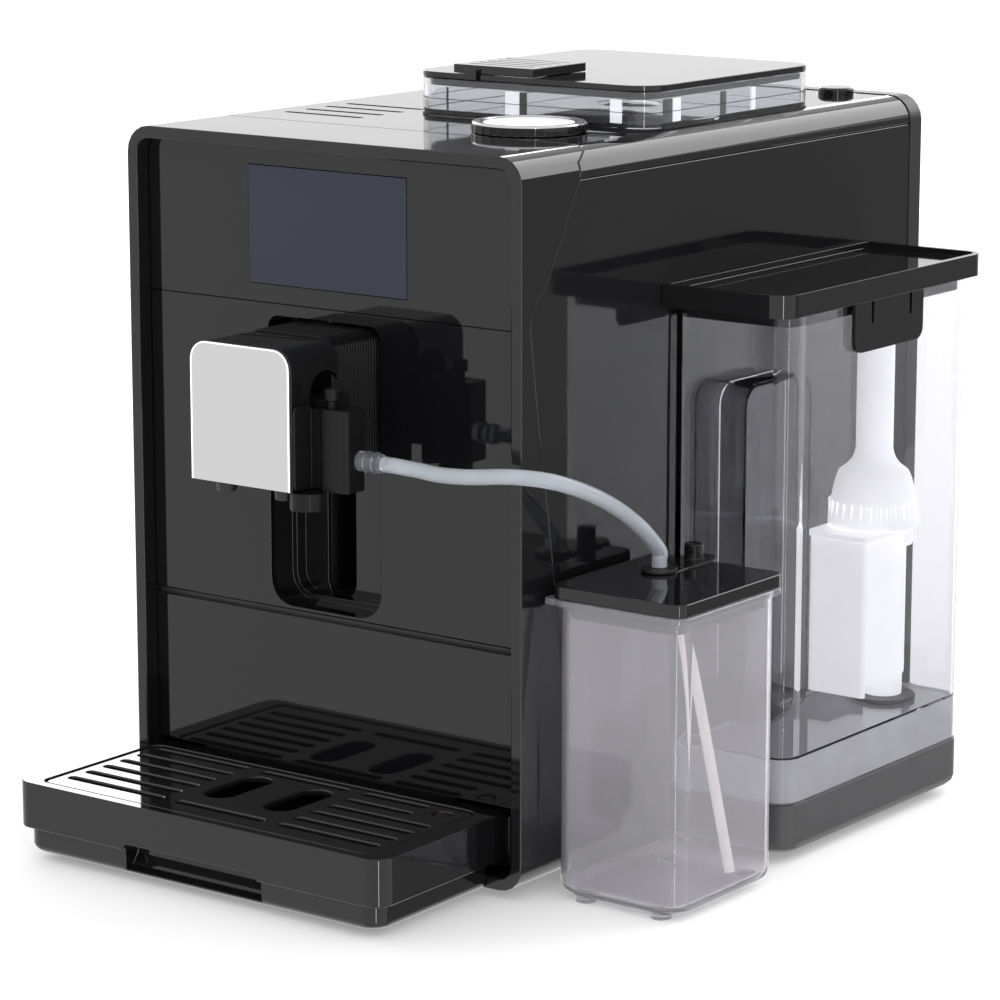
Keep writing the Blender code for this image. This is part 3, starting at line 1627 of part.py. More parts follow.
def drip_grille():
    bottom = grille_top - grille_thickness
    clear = grille_clearance
    low = (tray_left + tray_rim_side + clear, -tray_front + tray_rim_front + clear, bottom)
    high = (tray_right - tray_rim_side - clear, grille_rear, grille_top)
    grille = slab("drip_grille", low, high, grille_corners(0))
    left = low[0] + grille_margin
    right = high[0] - grille_margin
    middle = (left + right) / 2
    centre_half = (grille_oval_spacing + grille_oval_width) / 2
    front = -tray_front + grille_front_margin
    ends = (bottom - overrun, grille_top + overrun)
    half = grille_slot_width / 2
    for row in range(grille_row_count):
        y = front + row * grille_row_pitch
        spans = {"left": (left, middle - centre_half - grille_land)}
        spans["right"] = (middle + centre_half + grille_land, right)
        if row > grille_row_count - 3:
            spans["right"] = (spans["right"][0], float_spot[0] - float_hole - float_land)
        if row in (0, grille_row_count - 1):
            spans["centre"] = (middle - centre_half, middle + centre_half)
        for name, (start, end) in spans.items():
            low = (start, y - half, ends[0])
            high = (end, y + half, ends[1])
            cut(grille, slab(f"grille_{name}_{row}", low, high, half - gap))
    centre = -tray_front + grille_oval_back
    for name, side in (("left", -1), ("right", 1)):
        x = middle + side * grille_oval_spacing / 2
        low = (x - grille_oval_width / 2, centre - grille_oval_length / 2, ends[0])
        high = (x + grille_oval_width / 2, centre + grille_oval_length / 2, ends[1])
        cut(grille, slab(f"grille_oval_{name}", low, high, grille_oval_width / 2 - gap))
    cut(grille, rod("float_hole", float_spot, float_hole, "z", *ends))
    return piece(grille, "gloss_black", (*tray_pivot()[:2], grille_top))


def tray_float():
    low = tray_foot + tray_floor + gap
    top = grille_top - gap
    profile = [
        (0, low),
        (float_foot_radius, low),
        (float_foot_radius, low + float_foot_height),
        (float_radius, low + float_foot_height),
        (float_radius, top - gap),
        (float_radius - gap, top),
        (0, top),
    ]
    item = turned("float", float_spot, profile, "z", small_sides)
    return piece(item, "red", (*float_spot, low))


def grounds_bin():
    bottom = drawer_bottom + drawer_floor + gap
    low = (bin_left, panel_back + drawer_wall + bin_front_gap, bottom)
    high = (bin_left + bin_width, low[1] + bin_depth, bottom + bin_height)
    item = slab("grounds_bin", low, high, bin_corner)
    wall = bin_wall
    low = (low[0] + wall, low[1] + wall, low[2] + wall)
    high = (high[0] - wall, high[1] - wall, high[2] + overrun)
    cut(item, slab("bin_room", low, high, bin_corner - wall))
    return piece(item, "matte_black", tray_pivot())


# Inside
grinder_top = body_top - skin - gap - hopper_neck_drop
grinder_bottom = grinder_top - grinder_height


def grinder():
    wall = grinder_wall
    body = rod("grinder_body", neck_spot, grinder_radius, "z", grinder_bottom, grinder_top, round_sides)
    ends = (grinder_bottom + wall, grinder_top + overrun)
    x, y = neck_spot
    low = (x - chute_width / 2, y - grinder_radius - chute_length, grinder_bottom)
    high = (x + chute_width / 2, y, grinder_bottom + chute_height)
    join(body, slab("grinder_chute", low, high))
    cut(body, rod("grinder_room", neck_spot, grinder_radius - wall, "z", *ends, round_sides))
    hole = burr_shaft_radius + gap * 2
    ends = (grinder_bottom - overrun, grinder_bottom + wall + overrun)
    cut(body, rod("grinder_shaft_hole", neck_spot, hole, "z", *ends))
    low = (low[0] + wall, low[1] + wall, low[2] - overrun)
    high = (high[0] - wall, high[1], high[2] - wall)
    cut(body, slab("chute_room", low, high))
    piece(body, "grey")
    low = grinder_bottom + burr_lift
    shaft = grinder_bottom - motor_shaft_clearance + gap
    profile = [
        (0, shaft),
        (burr_shaft_radius, shaft),
        (burr_shaft_radius, low),
        (burr_radius, low),
        (burr_radius, low + burr_height / 2),
        (burr_radius / 2, low + burr_height),
        (0, low + burr_height),
    ]
    burr = turned("lower_burr", neck_spot, profile)
    for index in range(6):
        turn = tau * index / 6
        x = neck_spot[0] + burr_radius * 3 / 4 * cos(turn)
        y = neck_spot[1] + burr_radius * 3 / 4 * sin(turn)
        ends = (low + burr_height / 2, low + burr_height + overrun)
        cut(burr, rod(f"burr_tooth_{index}", (x, y), burr_shaft_radius, "z", *ends, 6))
    piece(burr, "steel", (*neck_spot, low))
    top = grinder_bottom - motor_shaft_clearance
    motor = rod("grinder_motor", neck_spot, motor_radius, "z", top - motor_height, top, round_sides)
    neck = motor_shaft_clearance - gap
    x, y = neck_spot
    for index in range(4):
        turn = tau * (index + 1 / 2) / 4
        spot = (x + motor_radius * 3 / 4 * cos(turn), y + motor_radius * 3 / 4 * sin(turn))
        ends = (top - overrun, top + neck)
        join(motor, rod(f"motor_post_{index}", spot, burr_shaft_radius, "z", *ends, 8))
    return piece(motor, "steel")


def brew_group():
    bottom = chassis_top + gap
    low = (inner_left + chassis_side + brew_left, brew_front, bottom)
    high = (low[0] + brew_width, brew_front + brew_depth, bottom + brew_height)
    group = slab("brew_group", low, high, brew_corner)
    spot = ((low[0] + high[0]) / 2, (low[1] + high[1]) / 2)
    ends = (high[2] - overrun, high[2] + brew_cylinder_height)
    join(group, rod("brew_cylinder", spot, brew_cylinder_radius, "z", *ends, round_sides))
    ends = (high[2] - brew_cylinder_height, high[2] + brew_cylinder_height + overrun)
    bore = brew_cylinder_radius - grinder_wall
    cut(group, rod("brew_bore", spot, bore, "z", *ends, round_sides))
    return piece(group, "matte_black")


def heater():
    left = recess_right + recess_wall + heater_right
    bottom = chassis_top + gap
    low = (left, heater_front, bottom)
    right = inner_right - heater_side_gap
    high = (right, heater_front + heater_depth, bottom + heater_height)
    return piece(slab("heater", low, high, heater_corner), "aluminium")


def pump():
    bottom = chassis_top + gap
    centre = (pump_back, bottom + pump_lift + pump_radius)
    start = pump_left
    end = pump_left + pump_length
    body = rod("pump", centre, pump_radius, "x", start, end, round_sides)
    low = (start + pump_lift, pump_back - pump_radius / 2, bottom)
    high = (end - pump_lift, pump_back + pump_radius / 2, bottom + pump_lift + pump_radius)
    join(body, slab("pump_foot", low, high))
    return piece(body, "brass")


def control_board():
    front = panel_recess + display_depth + gap
    middle = display_left + display_width / 2
    height = display_panel_bottom + display_bottom_edge + display_height / 2
    low = (middle - board_width / 2, front, height - board_height / 2)
    high = (middle + board_width / 2, front + board_thickness, height + board_height / 2)
    board = slab("control_board", low, high)
    back = high[1]
    low = (middle - board_chip_width / 2, back - board_thickness / 2, height - board_chip_width / 4)
    high = (middle + board_chip_width / 2, back + board_chip, height + board_chip_width / 4)
    join(board, slab("board_chip", low, high))
    return piece(board, "board")


def power_inlet():
    flange = inlet_flange
    low = (inlet_right, body_depth - inlet_depth, inlet_lift)
    high = (inlet_right + inlet_width, body_depth + gap * 2, inlet_lift + inlet_height)
    inlet = slab("power_inlet", low, high, 0, "y")
    low = (low[0] - flange, body_depth + gap, low[2] - flange)
    high = (high[0] + flange, body_depth + gap + inlet_flange_thickness, high[2] + flange)
    join(inlet, slab("inlet_flange", low, high, flange, "y"))
    wall = inlet_wall
    back = high[1]
    low = (inlet_right + wall, back - inlet_socket_depth, inlet_lift + wall)
    high = (inlet_right + inlet_width - wall, back + overrun, inlet_lift + inlet_height - wall)
    cut(inlet, slab("inlet_socket", low, high, wall, "y"))
    middle = (inlet_right + inlet_width / 2, inlet_lift + inlet_height / 2)
    for index, (side, rise) in enumerate(((-1, 0), (0, 1), (1, 0))):
        x = middle[0] + side * inlet_prong_spacing
        z = middle[1] + rise * inlet_prong_width
        low = (x - inlet_prong_width / 2, back - inlet_socket_depth - overrun, z - inlet_prong_height / 2)
        high = (x + inlet_prong_width / 2, back - inlet_prong_width, z + inlet_prong_height / 2)
        join(inlet, slab(f"inlet_prong_{index}", low, high))
    return piece(inlet, "matte_black")


def power_switch():
    left = inlet_right + inlet_width + switch_gap
    middle = inlet_lift + switch_height / 2
    right = left + switch_width
    back = body_depth + switch_rise
    front = body_depth - switch_depth
    half = switch_height / 2 - gap * 2
    points = [
        (front, middle - half / 2),
        (body_depth - switch_pivot, middle - half),
        (back + switch_swing / 2, middle - half),
        (back, middle),
        (back, middle + half),
        (body_depth - switch_pivot, middle + half),
        (front, middle + half / 2),
    ]
    switch = prism("power_switch", points, "x", left + gap, right - gap)
    return piece(switch, "matte_black", ((left + right) / 2, body_depth - switch_pivot, middle))


def place_all():
    """Moves the finished machine so that its middle stands over the origin."""
    for item in bpy.data.objects:
        item.location += centre_shift


def main():
    remove_all()
    base_plate()
    feet()
    front_frame()
    top_cover()
    side_panels()
    service_door()
    rear_panel()
    rear_screws()
    display_panel()
    middle_panel()
    chassis()
    control_board()
    grinder()
    brew_group()
    heater()
    pump()
    power_inlet()
    power_switch()
    spout_plate()
    spout_cover()
    spout_body()
    coffee_nozzles()
    milk_adapter()
    frother_pin()
    milk_outlet()
    hose_sleeve()
    milk_hose()
    milk_jug()
    jug_lid()
    jug_fitting()
    suction_tube()
    tank_shelf()
    water_tank()
    tank_valve()
    tank_lid()
    filter_body()
    filter_cap()
    hopper_body()
    hopper_lid()
    lid_flap()
    grind_knob()
    rear_button()
    drip_tray()
    lower_panel()
    drip_grille()
    tray_float()
    grounds_bin()
    place_all()


main()
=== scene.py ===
import json
from math import cos, pi, radians, sin, tau

import bmesh
import bpy
from mathutils import Matrix, Vector

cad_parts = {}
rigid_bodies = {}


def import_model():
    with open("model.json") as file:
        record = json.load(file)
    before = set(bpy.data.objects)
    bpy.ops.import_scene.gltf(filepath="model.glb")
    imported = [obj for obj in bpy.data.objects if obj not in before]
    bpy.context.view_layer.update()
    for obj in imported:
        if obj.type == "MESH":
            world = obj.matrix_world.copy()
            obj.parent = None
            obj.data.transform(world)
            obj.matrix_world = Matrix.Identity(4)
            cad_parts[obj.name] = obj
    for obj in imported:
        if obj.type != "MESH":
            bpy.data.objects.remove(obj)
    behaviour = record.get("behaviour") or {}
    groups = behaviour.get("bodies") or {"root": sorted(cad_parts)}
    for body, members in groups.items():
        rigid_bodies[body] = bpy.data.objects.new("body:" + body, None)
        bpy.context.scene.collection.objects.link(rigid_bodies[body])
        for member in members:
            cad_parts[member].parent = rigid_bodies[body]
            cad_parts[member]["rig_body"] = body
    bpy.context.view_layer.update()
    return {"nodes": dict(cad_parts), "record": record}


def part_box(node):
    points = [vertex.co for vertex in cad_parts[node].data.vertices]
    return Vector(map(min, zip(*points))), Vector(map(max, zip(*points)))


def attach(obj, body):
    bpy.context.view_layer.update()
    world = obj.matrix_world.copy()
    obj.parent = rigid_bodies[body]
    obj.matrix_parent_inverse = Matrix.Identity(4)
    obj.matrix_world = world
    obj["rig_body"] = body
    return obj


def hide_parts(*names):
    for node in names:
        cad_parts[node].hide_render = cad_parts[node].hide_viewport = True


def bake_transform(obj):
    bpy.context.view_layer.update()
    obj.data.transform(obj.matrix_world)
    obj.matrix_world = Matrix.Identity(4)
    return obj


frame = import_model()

scene = bpy.context.scene
scene.view_settings.view_transform = "Standard"
slotOf = {row["node"]: row["material_slot"] for row in frame["record"]["subparts"]}
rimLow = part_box("front_frame")[0]
corner = Vector((rimLow.x, rimLow.y, 0))


def bodyOf(node):
    return frame["nodes"][node]["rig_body"]


def at(x, y, z):
    return corner + Vector((x, y, z))


print("packed model read:", len(frame["nodes"]), "nodes")

# Camera
cameraView = {
    "place": (1.233, -1.355, 0.543),
    "azimuth": 36.7,
    "elevation": 11.83,
    "lens": 137.27,
    "sensor": 36,
    "far": 200,
}


def addCamera(view):
    turn = radians(view["azimuth"])
    rise = radians(view["elevation"])
    looking = Vector((-sin(turn) * cos(rise), cos(turn) * cos(rise), -sin(rise)))
    data = bpy.data.cameras.new("camera")
    data.lens = view["lens"]
    data.sensor_width = view["sensor"]
    data.clip_end = view["far"]
    made = bpy.data.objects.new("camera", data)
    made.location = at(*view["place"])
    made.rotation_euler = looking.to_track_quat("-Z", "Y").to_euler()
    scene.collection.objects.link(made)
    scene.camera = made


addCamera(cameraView)
print("camera stands")


# Node helpers
def shaderGroup(name, sockets, outputs):
    tree = bpy.data.node_groups.new(name, "ShaderNodeTree")
    for label, kind, value in sockets:
        socket = tree.interface.new_socket(label, in_out="INPUT", socket_type="NodeSocket" + kind)
        if value is not None:
            socket.default_value = value
    for label, kind in outputs:
        tree.interface.new_socket(label, in_out="OUTPUT", socket_type="NodeSocket" + kind)
    return tree, tree.nodes.new("NodeGroupInput"), tree.nodes.new("NodeGroupOutput")


def feed(tree, socket, given):
    # Another node's output is joined to the socket, a number or a colour is set on it
    if isinstance(given, bpy.types.NodeSocket):
        tree.links.new(given, socket)
    else:
        socket.default_value = given


def noise(tree, vector, scale, detail, stretch=None):
    made = tree.nodes.new("ShaderNodeTexNoise")
    if stretch:
        mapping = tree.nodes.new("ShaderNodeMapping")
        mapping.inputs["Scale"].default_value = stretch
        tree.links.new(vector, mapping.inputs["Vector"])
        vector = mapping.outputs["Vector"]
    for label, given in (("Vector", vector), ("Scale", scale), ("Detail", detail)):
        feed(tree, made.inputs[label], given)
    return made.outputs["Fac"]


def maths(tree, kind, first, second):
    made = tree.nodes.new("ShaderNodeMath")
    made.operation = kind
    feed(tree, made.inputs[0], first)
    feed(tree, made.inputs[1], second)
    return made.outputs["Value"]


def ramp(tree, value, span, reach):
    made = tree.nodes.new("ShaderNodeMapRange")
    labels = ("Value", "From Min", "From Max", "To Min", "To Max")
    for label, given in zip(labels, (value, *span, *reach)):
        feed(tree, made.inputs[label], given)
    return made.outputs["Result"]


def blendColour(tree, amount, first, second):
    made = tree.nodes.new("ShaderNodeMix")
    made.data_type = "RGBA"
    colours = [socket for socket in made.inputs if socket.type == "RGBA"]
    factors = [socket for socket in made.inputs if socket.type == "VALUE"]
    feed(tree, factors[0], amount)
    feed(tree, colours[0], first)
    feed(tree, colours[1], second)
    return [socket for socket in made.outputs if socket.type == "RGBA"][0]


# Shared shader groups. A span is the part of a noise that is used, a reach what it is turned into.
plainTone = (0.02, 0.02, 0.02, 1)
polishedWear = {"patches": 18, "patchDetail": 4, "span": (0.45, 0.75), "waves": 25, "waveDetail": 1}
mouldedWear = {
    "clouds": 60, "cloudDetail": 3, "span": (0.3, 0.7), "shade": (0, 0.12), "shaded": (0, 0, 0, 1),
    "grainDetail": 2, "spread": (-0.04, 0.04),
}
brushedWear = {
    "lines": 40, "lineDetail": 4, "stretch": (1, 60, 60), "span": (0.3, 0.7), "shade": (0, 0.1),
    "shaded": (0.2, 0.2, 0.2, 1), "spread": (-0.04, 0.06),
}
dustWear = {
    "patches": 90, "patchDetail": 5, "span": (0.4, 0.7), "upward": (0.2, 1), "dust": (0.5, 0.48, 0.45, 1),
    "rough": (0.55, 0.9),
}


def polishedGroup(wear):
    # Polished moulding: faint smudges in the roughness and a slow waviness
    sockets = [("Vector", "Vector", None), ("Rough", "Float", 0.05), ("Smudge", "Float", 0.03)]
    outputs = [("Roughness", "Float"), ("Height", "Float")]
    tree, start, end = shaderGroup("polished", sockets, outputs)
    vector = start.outputs["Vector"]
    patches = noise(tree, vector, wear["patches"], wear["patchDetail"])
    veil = ramp(tree, patches, wear["span"], (0, start.outputs["Smudge"]))
    tree.links.new(maths(tree, "ADD", start.outputs["Rough"], veil), end.inputs["Roughness"])
    tree.links.new(noise(tree, vector, wear["waves"], wear["waveDetail"]), end.inputs["Height"])
    return tree


def mouldedGroup(wear):
    # Textured moulding: spark-eroded grain, a little uneven in tone
    sockets = [
        ("Vector", "Vector", None),
        ("Tone", "Color", plainTone),
        ("Grain", "Float", 2500.0),
        ("Rough", "Float", 0.45),
    ]
    outputs = [("Color", "Color"), ("Roughness", "Float"), ("Height", "Float")]
    tree, start, end = shaderGroup("moulded", sockets, outputs)
    vector = start.outputs["Vector"]
    clouds = noise(tree, vector, wear["clouds"], wear["cloudDetail"])
    shade = ramp(tree, clouds, wear["span"], wear["shade"])
    tree.links.new(blendColour(tree, shade, start.outputs["Tone"], wear["shaded"]), end.inputs["Color"])
    grain = noise(tree, vector, start.outputs["Grain"], wear["grainDetail"])
    spread = ramp(tree, grain, wear["span"], wear["spread"])
    tree.links.new(maths(tree, "ADD", start.outputs["Rough"], spread), end.inputs["Roughness"])
    tree.links.new(grain, end.inputs["Height"])
    return tree


def brushedGroup(wear):
    # Fine satin lines across a metal face
    sockets = [
        ("Vector", "Vector", None),
        ("Tone", "Color", plainTone),
        ("Rough", "Float", 0.3),
        ("Across", "Float", 1.0),
    ]
    outputs = [("Color", "Color"), ("Roughness", "Float"), ("Height", "Float")]
    tree, start, end = shaderGroup("brushed", sockets, outputs)
    lines = noise(tree, start.outputs["Vector"], wear["lines"], wear["lineDetail"], wear["stretch"])
    shade = maths(tree, "MULTIPLY", ramp(tree, lines, wear["span"], wear["shade"]), start.outputs["Across"])
    tree.links.new(blendColour(tree, shade, start.outputs["Tone"], wear["shaded"]), end.inputs["Color"])
    spread = ramp(tree, lines, wear["span"], wear["spread"])
    tree.links.new(maths(tree, "ADD", start.outputs["Rough"], spread), end.inputs["Roughness"])
    tree.links.new(lines, end.inputs["Height"])
    return tree


def dustGroup(wear):
    # Pale dust that settles in patches on the faces that look up
    sockets = [("Vector", "Vector", None), ("Tone", "Color", plainTone), ("Amount", "Float", 0.1)]
    outputs = [("Color", "Color"), ("Roughness", "Float")]
    tree, start, end = shaderGroup("dust", sockets, outputs)
    around = tree.nodes.new("ShaderNodeNewGeometry")
    split = tree.nodes.new("ShaderNodeSeparateXYZ")
    tree.links.new(around.outputs["Normal"], split.inputs["Vector"])
    upward = ramp(tree, split.outputs["Z"], wear["upward"], (0, 1))
    clouds = noise(tree, start.outputs["Vector"], wear["patches"], wear["patchDetail"])
    patches = ramp(tree, clouds, wear["span"], (0, 1))
    mask = maths(tree, "MULTIPLY", maths(tree, "MULTIPLY", upward, patches), start.outputs["Amount"])
    tree.links.new(blendColour(tree, mask, start.outputs["Tone"], wear["dust"]), end.inputs["Color"])
    tree.links.new(ramp(tree, mask, (0, 1), wear["rough"]), end.inputs["Roughness"])
    return tree


groups = {
    "polished": polishedGroup(polishedWear),
    "moulded": mouldedGroup(mouldedWear),
    "brushed": brushedGroup(brushedWear),
    "dust": dustGroup(dustWear),
}
shaderInputs = {
    "metallic": "Metallic",
    "ior": "IOR",
    "clear": "Transmission Weight",
    "specular": "Specular IOR Level",
    # Emission here is painted light: it makes parts glow that are no lamps
    "paintedGlow": "Emission Strength",
}
wearInputs = {"rough": "Rough", "smudge": "Smudge", "grain": "Grain", "dust": "Amount", "across": "Across"}
bumpLook = {"deep": 0.00002, "strength": 0.5}


def material(name, look):
    made = bpy.data.materials.new(name)
    made.use_nodes = True
    tree = made.node_tree
    shader = tree.nodes["Principled BSDF"]
    colour = (*look["colour"], 1)
    shader.inputs["Base Color"].default_value = colour
    for key, label in shaderInputs.items():
        if key in look:
            shader.inputs[label].default_value = look[key]
    # Painted light: the part glows in its own colour
    if "paintedGlow" in look:
        shader.inputs["Emission Color"].default_value = colour
    place = tree.nodes.new("ShaderNodeTexCoord")
    wear = tree.nodes.new("ShaderNodeGroup")
    wear.node_tree = groups[look["wear"]]
    tree.links.new(place.outputs["Object"], wear.inputs["Vector"])
    if "Tone" in wear.inputs:
        wear.inputs["Tone"].default_value = colour
        tree.links.new(wear.outputs["Color"], shader.inputs["Base Color"])
    for key, label in wearInputs.items():
        if key in look:
            wear.inputs[label].default_value = look[key]
    tree.links.new(wear.outputs["Roughness"], shader.inputs["Roughness"])
    if "Height" in wear.outputs:
        bump = tree.nodes.new("ShaderNodeBump")
        bump.inputs["Distance"].default_value = look.get("deep", bumpLook["deep"])
        bump.inputs["Strength"].default_value = bumpLook["strength"]
        tree.links.new(wear.outputs["Height"], bump.inputs["Height"])
        tree.links.new(bump.outputs["Normal"], shader.inputs["Normal"])
    return made


# Looks. The slots of the record come first, then the finishes of single pieces.
whiteMoulding = {
    "wear": "moulded", "colour": (0.86, 0.86, 0.88), "rough": 0.35, "grain": 2000, "deep": 0.00001,
}
looks = {
    "gloss_black": {"wear": "polished", "colour": (0.008, 0.008, 0.009), "rough": 0.04, "smudge": 0.02},
    "panel_black": {"wear": "polished", "colour": (0.006, 0.006, 0.007), "rough": 0.03, "smudge": 0.015},
    "screen": {"wear": "polished", "colour": (0.010, 0.013, 0.036), "rough": 0.03, "smudge": 0.015},
    "matte_black": {
        "wear": "moulded", "colour": (0.014, 0.014, 0.015), "rough": 0.42, "grain": 2600, "deep": 0.00003,
    },
    "rubber": {"wear": "dust", "colour": (0.016, 0.016, 0.016), "dust": 0.08, "specular": 0.3},
    "grey": {"wear": "moulded", "colour": (0.08, 0.078, 0.082), "rough": 0.4, "grain": 2200, "deep": 0.00003},
    # The white and beige parts glow: painted light that brightens them
    "white": {**whiteMoulding, "paintedGlow": 0.45},
    "beige": {
        "wear": "moulded", "colour": (0.80, 0.74, 0.71), "rough": 0.35, "grain": 1500, "deep": 0.00001,
        "paintedGlow": 0.35,
    },
    "board": {"wear": "moulded", "colour": (0.02, 0.10, 0.03), "rough": 0.35, "grain": 900},
    "steel": {"wear": "brushed", "colour": (0.55, 0.55, 0.56), "metallic": 1, "rough": 0.28},
    "aluminium": {"wear": "brushed", "colour": (0.62, 0.63, 0.64), "metallic": 1, "rough": 0.4},
    "brass": {"wear": "brushed", "colour": (0.60, 0.42, 0.16), "metallic": 1, "rough": 0.3},
    "chrome": {
        "wear": "brushed", "colour": (0.66, 0.65, 0.66), "metallic": 1, "rough": 0.22, "across": 0.2,
        "deep": 0.000004,
    },
    "clear": {
        "wear": "polished", "colour": (0.84, 0.84, 0.865), "clear": 1, "ior": 1.36,
        "rough": 0.015, "smudge": 0.01,
    },
    "smoke": {
        "wear": "polished", "colour": (0.86, 0.87, 0.90), "clear": 0.97, "ior": 1.45,
        "rough": 0.02, "smudge": 0.01,
    },
    "hose_blue": {
        "wear": "moulded", "colour": (0.86, 0.90, 0.96), "clear": 0.65, "ior": 1.4,
        "rough": 0.12, "grain": 700, "deep": 0.00001,
    },
    "satin_black": {
        "wear": "moulded", "colour": (0.012, 0.012, 0.013), "rough": 0.06, "grain": 2600, "deep": 0.000005,
    },
    "deep_black": {
        "wear": "moulded", "colour": (0.008, 0.008, 0.009), "rough": 0.3, "grain": 2600, "specular": 0.2,
    },
    # Painted shade: the float is painted a near black red because it sits low in shade under the grille
    "float_painted_shade": {"wear": "polished", "colour": (0.02, 0.009, 0.009), "rough": 0.15, "smudge": 0.02},
    # The filter glows: painted light that brightens it inside the tank
    "filter_white": {**whiteMoulding, "paintedGlow": 0.74},
    # Painted highlight: a glowing white for the painted reflections in the hopper and the bright line round
    # the plate
    "painted_highlight": {"wear": "polished", "colour": (0.90, 0.90, 0.92), "rough": 0.1, "smudge": 0.02, "paintedGlow": 0.8},
    "milky": {
        "wear": "polished", "colour": (0.97, 0.955, 1.0), "clear": 0.86, "ior": 1.42,
        "rough": 0.015, "smudge": 0.01,
    },
    # The frosted band and plate are frosted plastic that also glows faintly: painted light
    "frosted": {
        "wear": "moulded", "colour": (0.86, 0.86, 0.90), "clear": 0.4, "ior": 1.35,
        "rough": 0.4, "grain": 900, "paintedGlow": 0.06,
    },
    "sleeve": {
        "wear": "polished", "colour": (0.50, 0.52, 0.57), "clear": 0.85, "ior": 1.4,
        "rough": 0.08, "smudge": 0.02,
    },
}
materials = {name: material(name, look) for name, look in looks.items()}
print("materials made:", len(materials))


# Mesh helpers
def repaint(made, look):
    made.data.materials.clear()
    made.data.materials.append(materials[look])


def newObject(name, mesh, look, body):
    made = bpy.data.objects.new(name, mesh)
    scene.collection.objects.link(made)
    repaint(made, look)
    if body:
        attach(made, body)
    return made


def shadeSmooth(mesh, angle):
    for face in mesh.polygons:
        face.use_smooth = True
    mesh.set_sharp_from_angle(angle=radians(angle))


def settle(made):
    # The mesh that the modifiers make takes their place
    graph = bpy.context.evaluated_depsgraph_get()
    mesh = bpy.data.meshes.new_from_object(made.evaluated_get(graph))
    made.modifiers.clear()
    made.data = mesh


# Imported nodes: each gets rounded edges and its look. Edges and finishes name the nodes that differ.
dressing = {"weld": 0.000002, "flat": 0.6, "smooth": 32, "edge": 0.0003, "edgeSteps": 2, "edgeAngle": 32}
edges = {
    "top_cover": 0.0006,
    "front_frame": 0.0006,
    "right_side_panel": 0.0004,
    "left_side_panel": 0.0004,
    "milk_jug": 0.0004,
    "water_tank": 0.0005,
    "drip_grille": 0.0007,
    "drip_tray": 0.0006,
    "display": 0.0001,
    "spout_plate": 0.0004,
    "tank_lid": 0.00012,
    "jug_lid": 0.0005,
}
finishes = {
    "drip_grille": "satin_black",
    "milk_adapter": "deep_black",
    "milk_outlet": "deep_black",
    "spout_body": "deep_black",
    "frother_pin": "deep_black",
    "milk_jug": "milky",
    "float": "float_painted_shade",
    "hose_sleeve": "sleeve",
    "filter_cap": "filter_white",
    "filter_body": "filter_white",
}


def addBevel(made, width):
    bevel = made.modifiers.new("edge", "BEVEL")
    bevel.width = width
    bevel.segments = dressing["edgeSteps"]
    bevel.limit_method = "ANGLE"
    bevel.angle_limit = radians(dressing["edgeAngle"])
    bevel.use_clamp_overlap = False
    bevel.miter_outer = "MITER_SHARP"
    weighted = made.modifiers.new("normals", "WEIGHTED_NORMAL")
    weighted.keep_sharp = True


def dress(node, width, look):
    source = frame["nodes"][node]
    mesh = source.data.copy()
    work = bmesh.new()
    work.from_mesh(mesh)
    bmesh.ops.remove_doubles(work, verts=work.verts, dist=dressing["weld"])
    bmesh.ops.dissolve_limit(work, angle_limit=radians(dressing["flat"]), verts=work.verts, edges=work.edges)
    work.to_mesh(mesh)
    work.free()
    shadeSmooth(mesh, dressing["smooth"])
    made = newObject("look_" + node, mesh, look, None)
    addBevel(made, width)
    settle(made)
    repaint(made, look)
    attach(made, source["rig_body"])
    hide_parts(node)


for node in sorted(frame["nodes"]):
    if node != "milk_hose":
        dress(node, edges.get(node, dressing["edge"]), finishes.get(node, slotOf[node]))
print("nodes dressed")

# Shapes for the small parts
shading = {"part": 35, "ridge": 60, "tube": 40}


def fixNormals(mesh):
    work = bmesh.new()
    work.from_mesh(mesh)
    bmesh.ops.recalc_face_normals(work, faces=work.faces)
    work.to_mesh(mesh)
    work.free()


def roundedLoop(low, high, radius, steps):
    left, right, front, rear = low.x + radius, high.x - radius, low.y + radius, high.y - radius
    loop = []
    for quarter, (x, y) in enumerate(((right, rear), (left, rear), (left, front), (right, front))):
        for i in range(steps + 1):
            angle = (quarter + i / steps) * pi / 2
            loop.append((x + radius * cos(angle), y + radius * sin(angle)))
    return loop


def loopsMesh(name, loops, ring, shade=shading["part"]):
    # Skins a row of loops; a ring joins its last loop to the first, anything else gets two end faces
    vertices = [point for loop in loops for point in loop]
    size = len(loops[0])
    faces = []
    for row in range(len(loops) if ring else len(loops) - 1):
        near, far = row * size, (row + 1) % len(loops) * size
        for i in range(size):
            j = (i + 1) % size
            faces.append([near + i, near + j, far + j, far + i])
    if not ring:
        faces.append(list(range(size))[::-1])
        faces.append([len(vertices) - size + i for i in range(size)])
    mesh = bpy.data.meshes.new(name)
    mesh.from_pydata(vertices, [], faces)
    fixNormals(mesh)
    shadeSmooth(mesh, shade)
    return mesh


def stacked(name, rows, ring):
    return loopsMesh(name, [[Vector((x, y, z)) for x, y in loop] for loop, z in rows], ring)


def blockMesh(name, low, high, radius=0.0002, steps=2, widest=0.4):
    low, high = Vector(low), Vector(high)
    edge = min(radius, widest * min(high - low))
    outer = roundedLoop(low, high, edge, steps)
    inset = Vector((edge / 2, edge / 2, 0))
    inner = roundedLoop(low + inset, high - inset, edge / 2, steps)
    rows = [(inner, low.z), (outer, low.z + edge / 2), (outer, high.z - edge / 2), (inner, high.z)]
    return stacked(name, rows, False)


def bandMesh(name, low, high, radius, wall, steps=10):
    outer = roundedLoop(low, high, radius, steps)
    inset = Vector((wall, wall, 0))
    inner = roundedLoop(low + inset, high - inset, radius - wall, steps)
    return stacked(name, [(outer, low.z), (outer, high.z), (inner, high.z), (inner, low.z)], True)


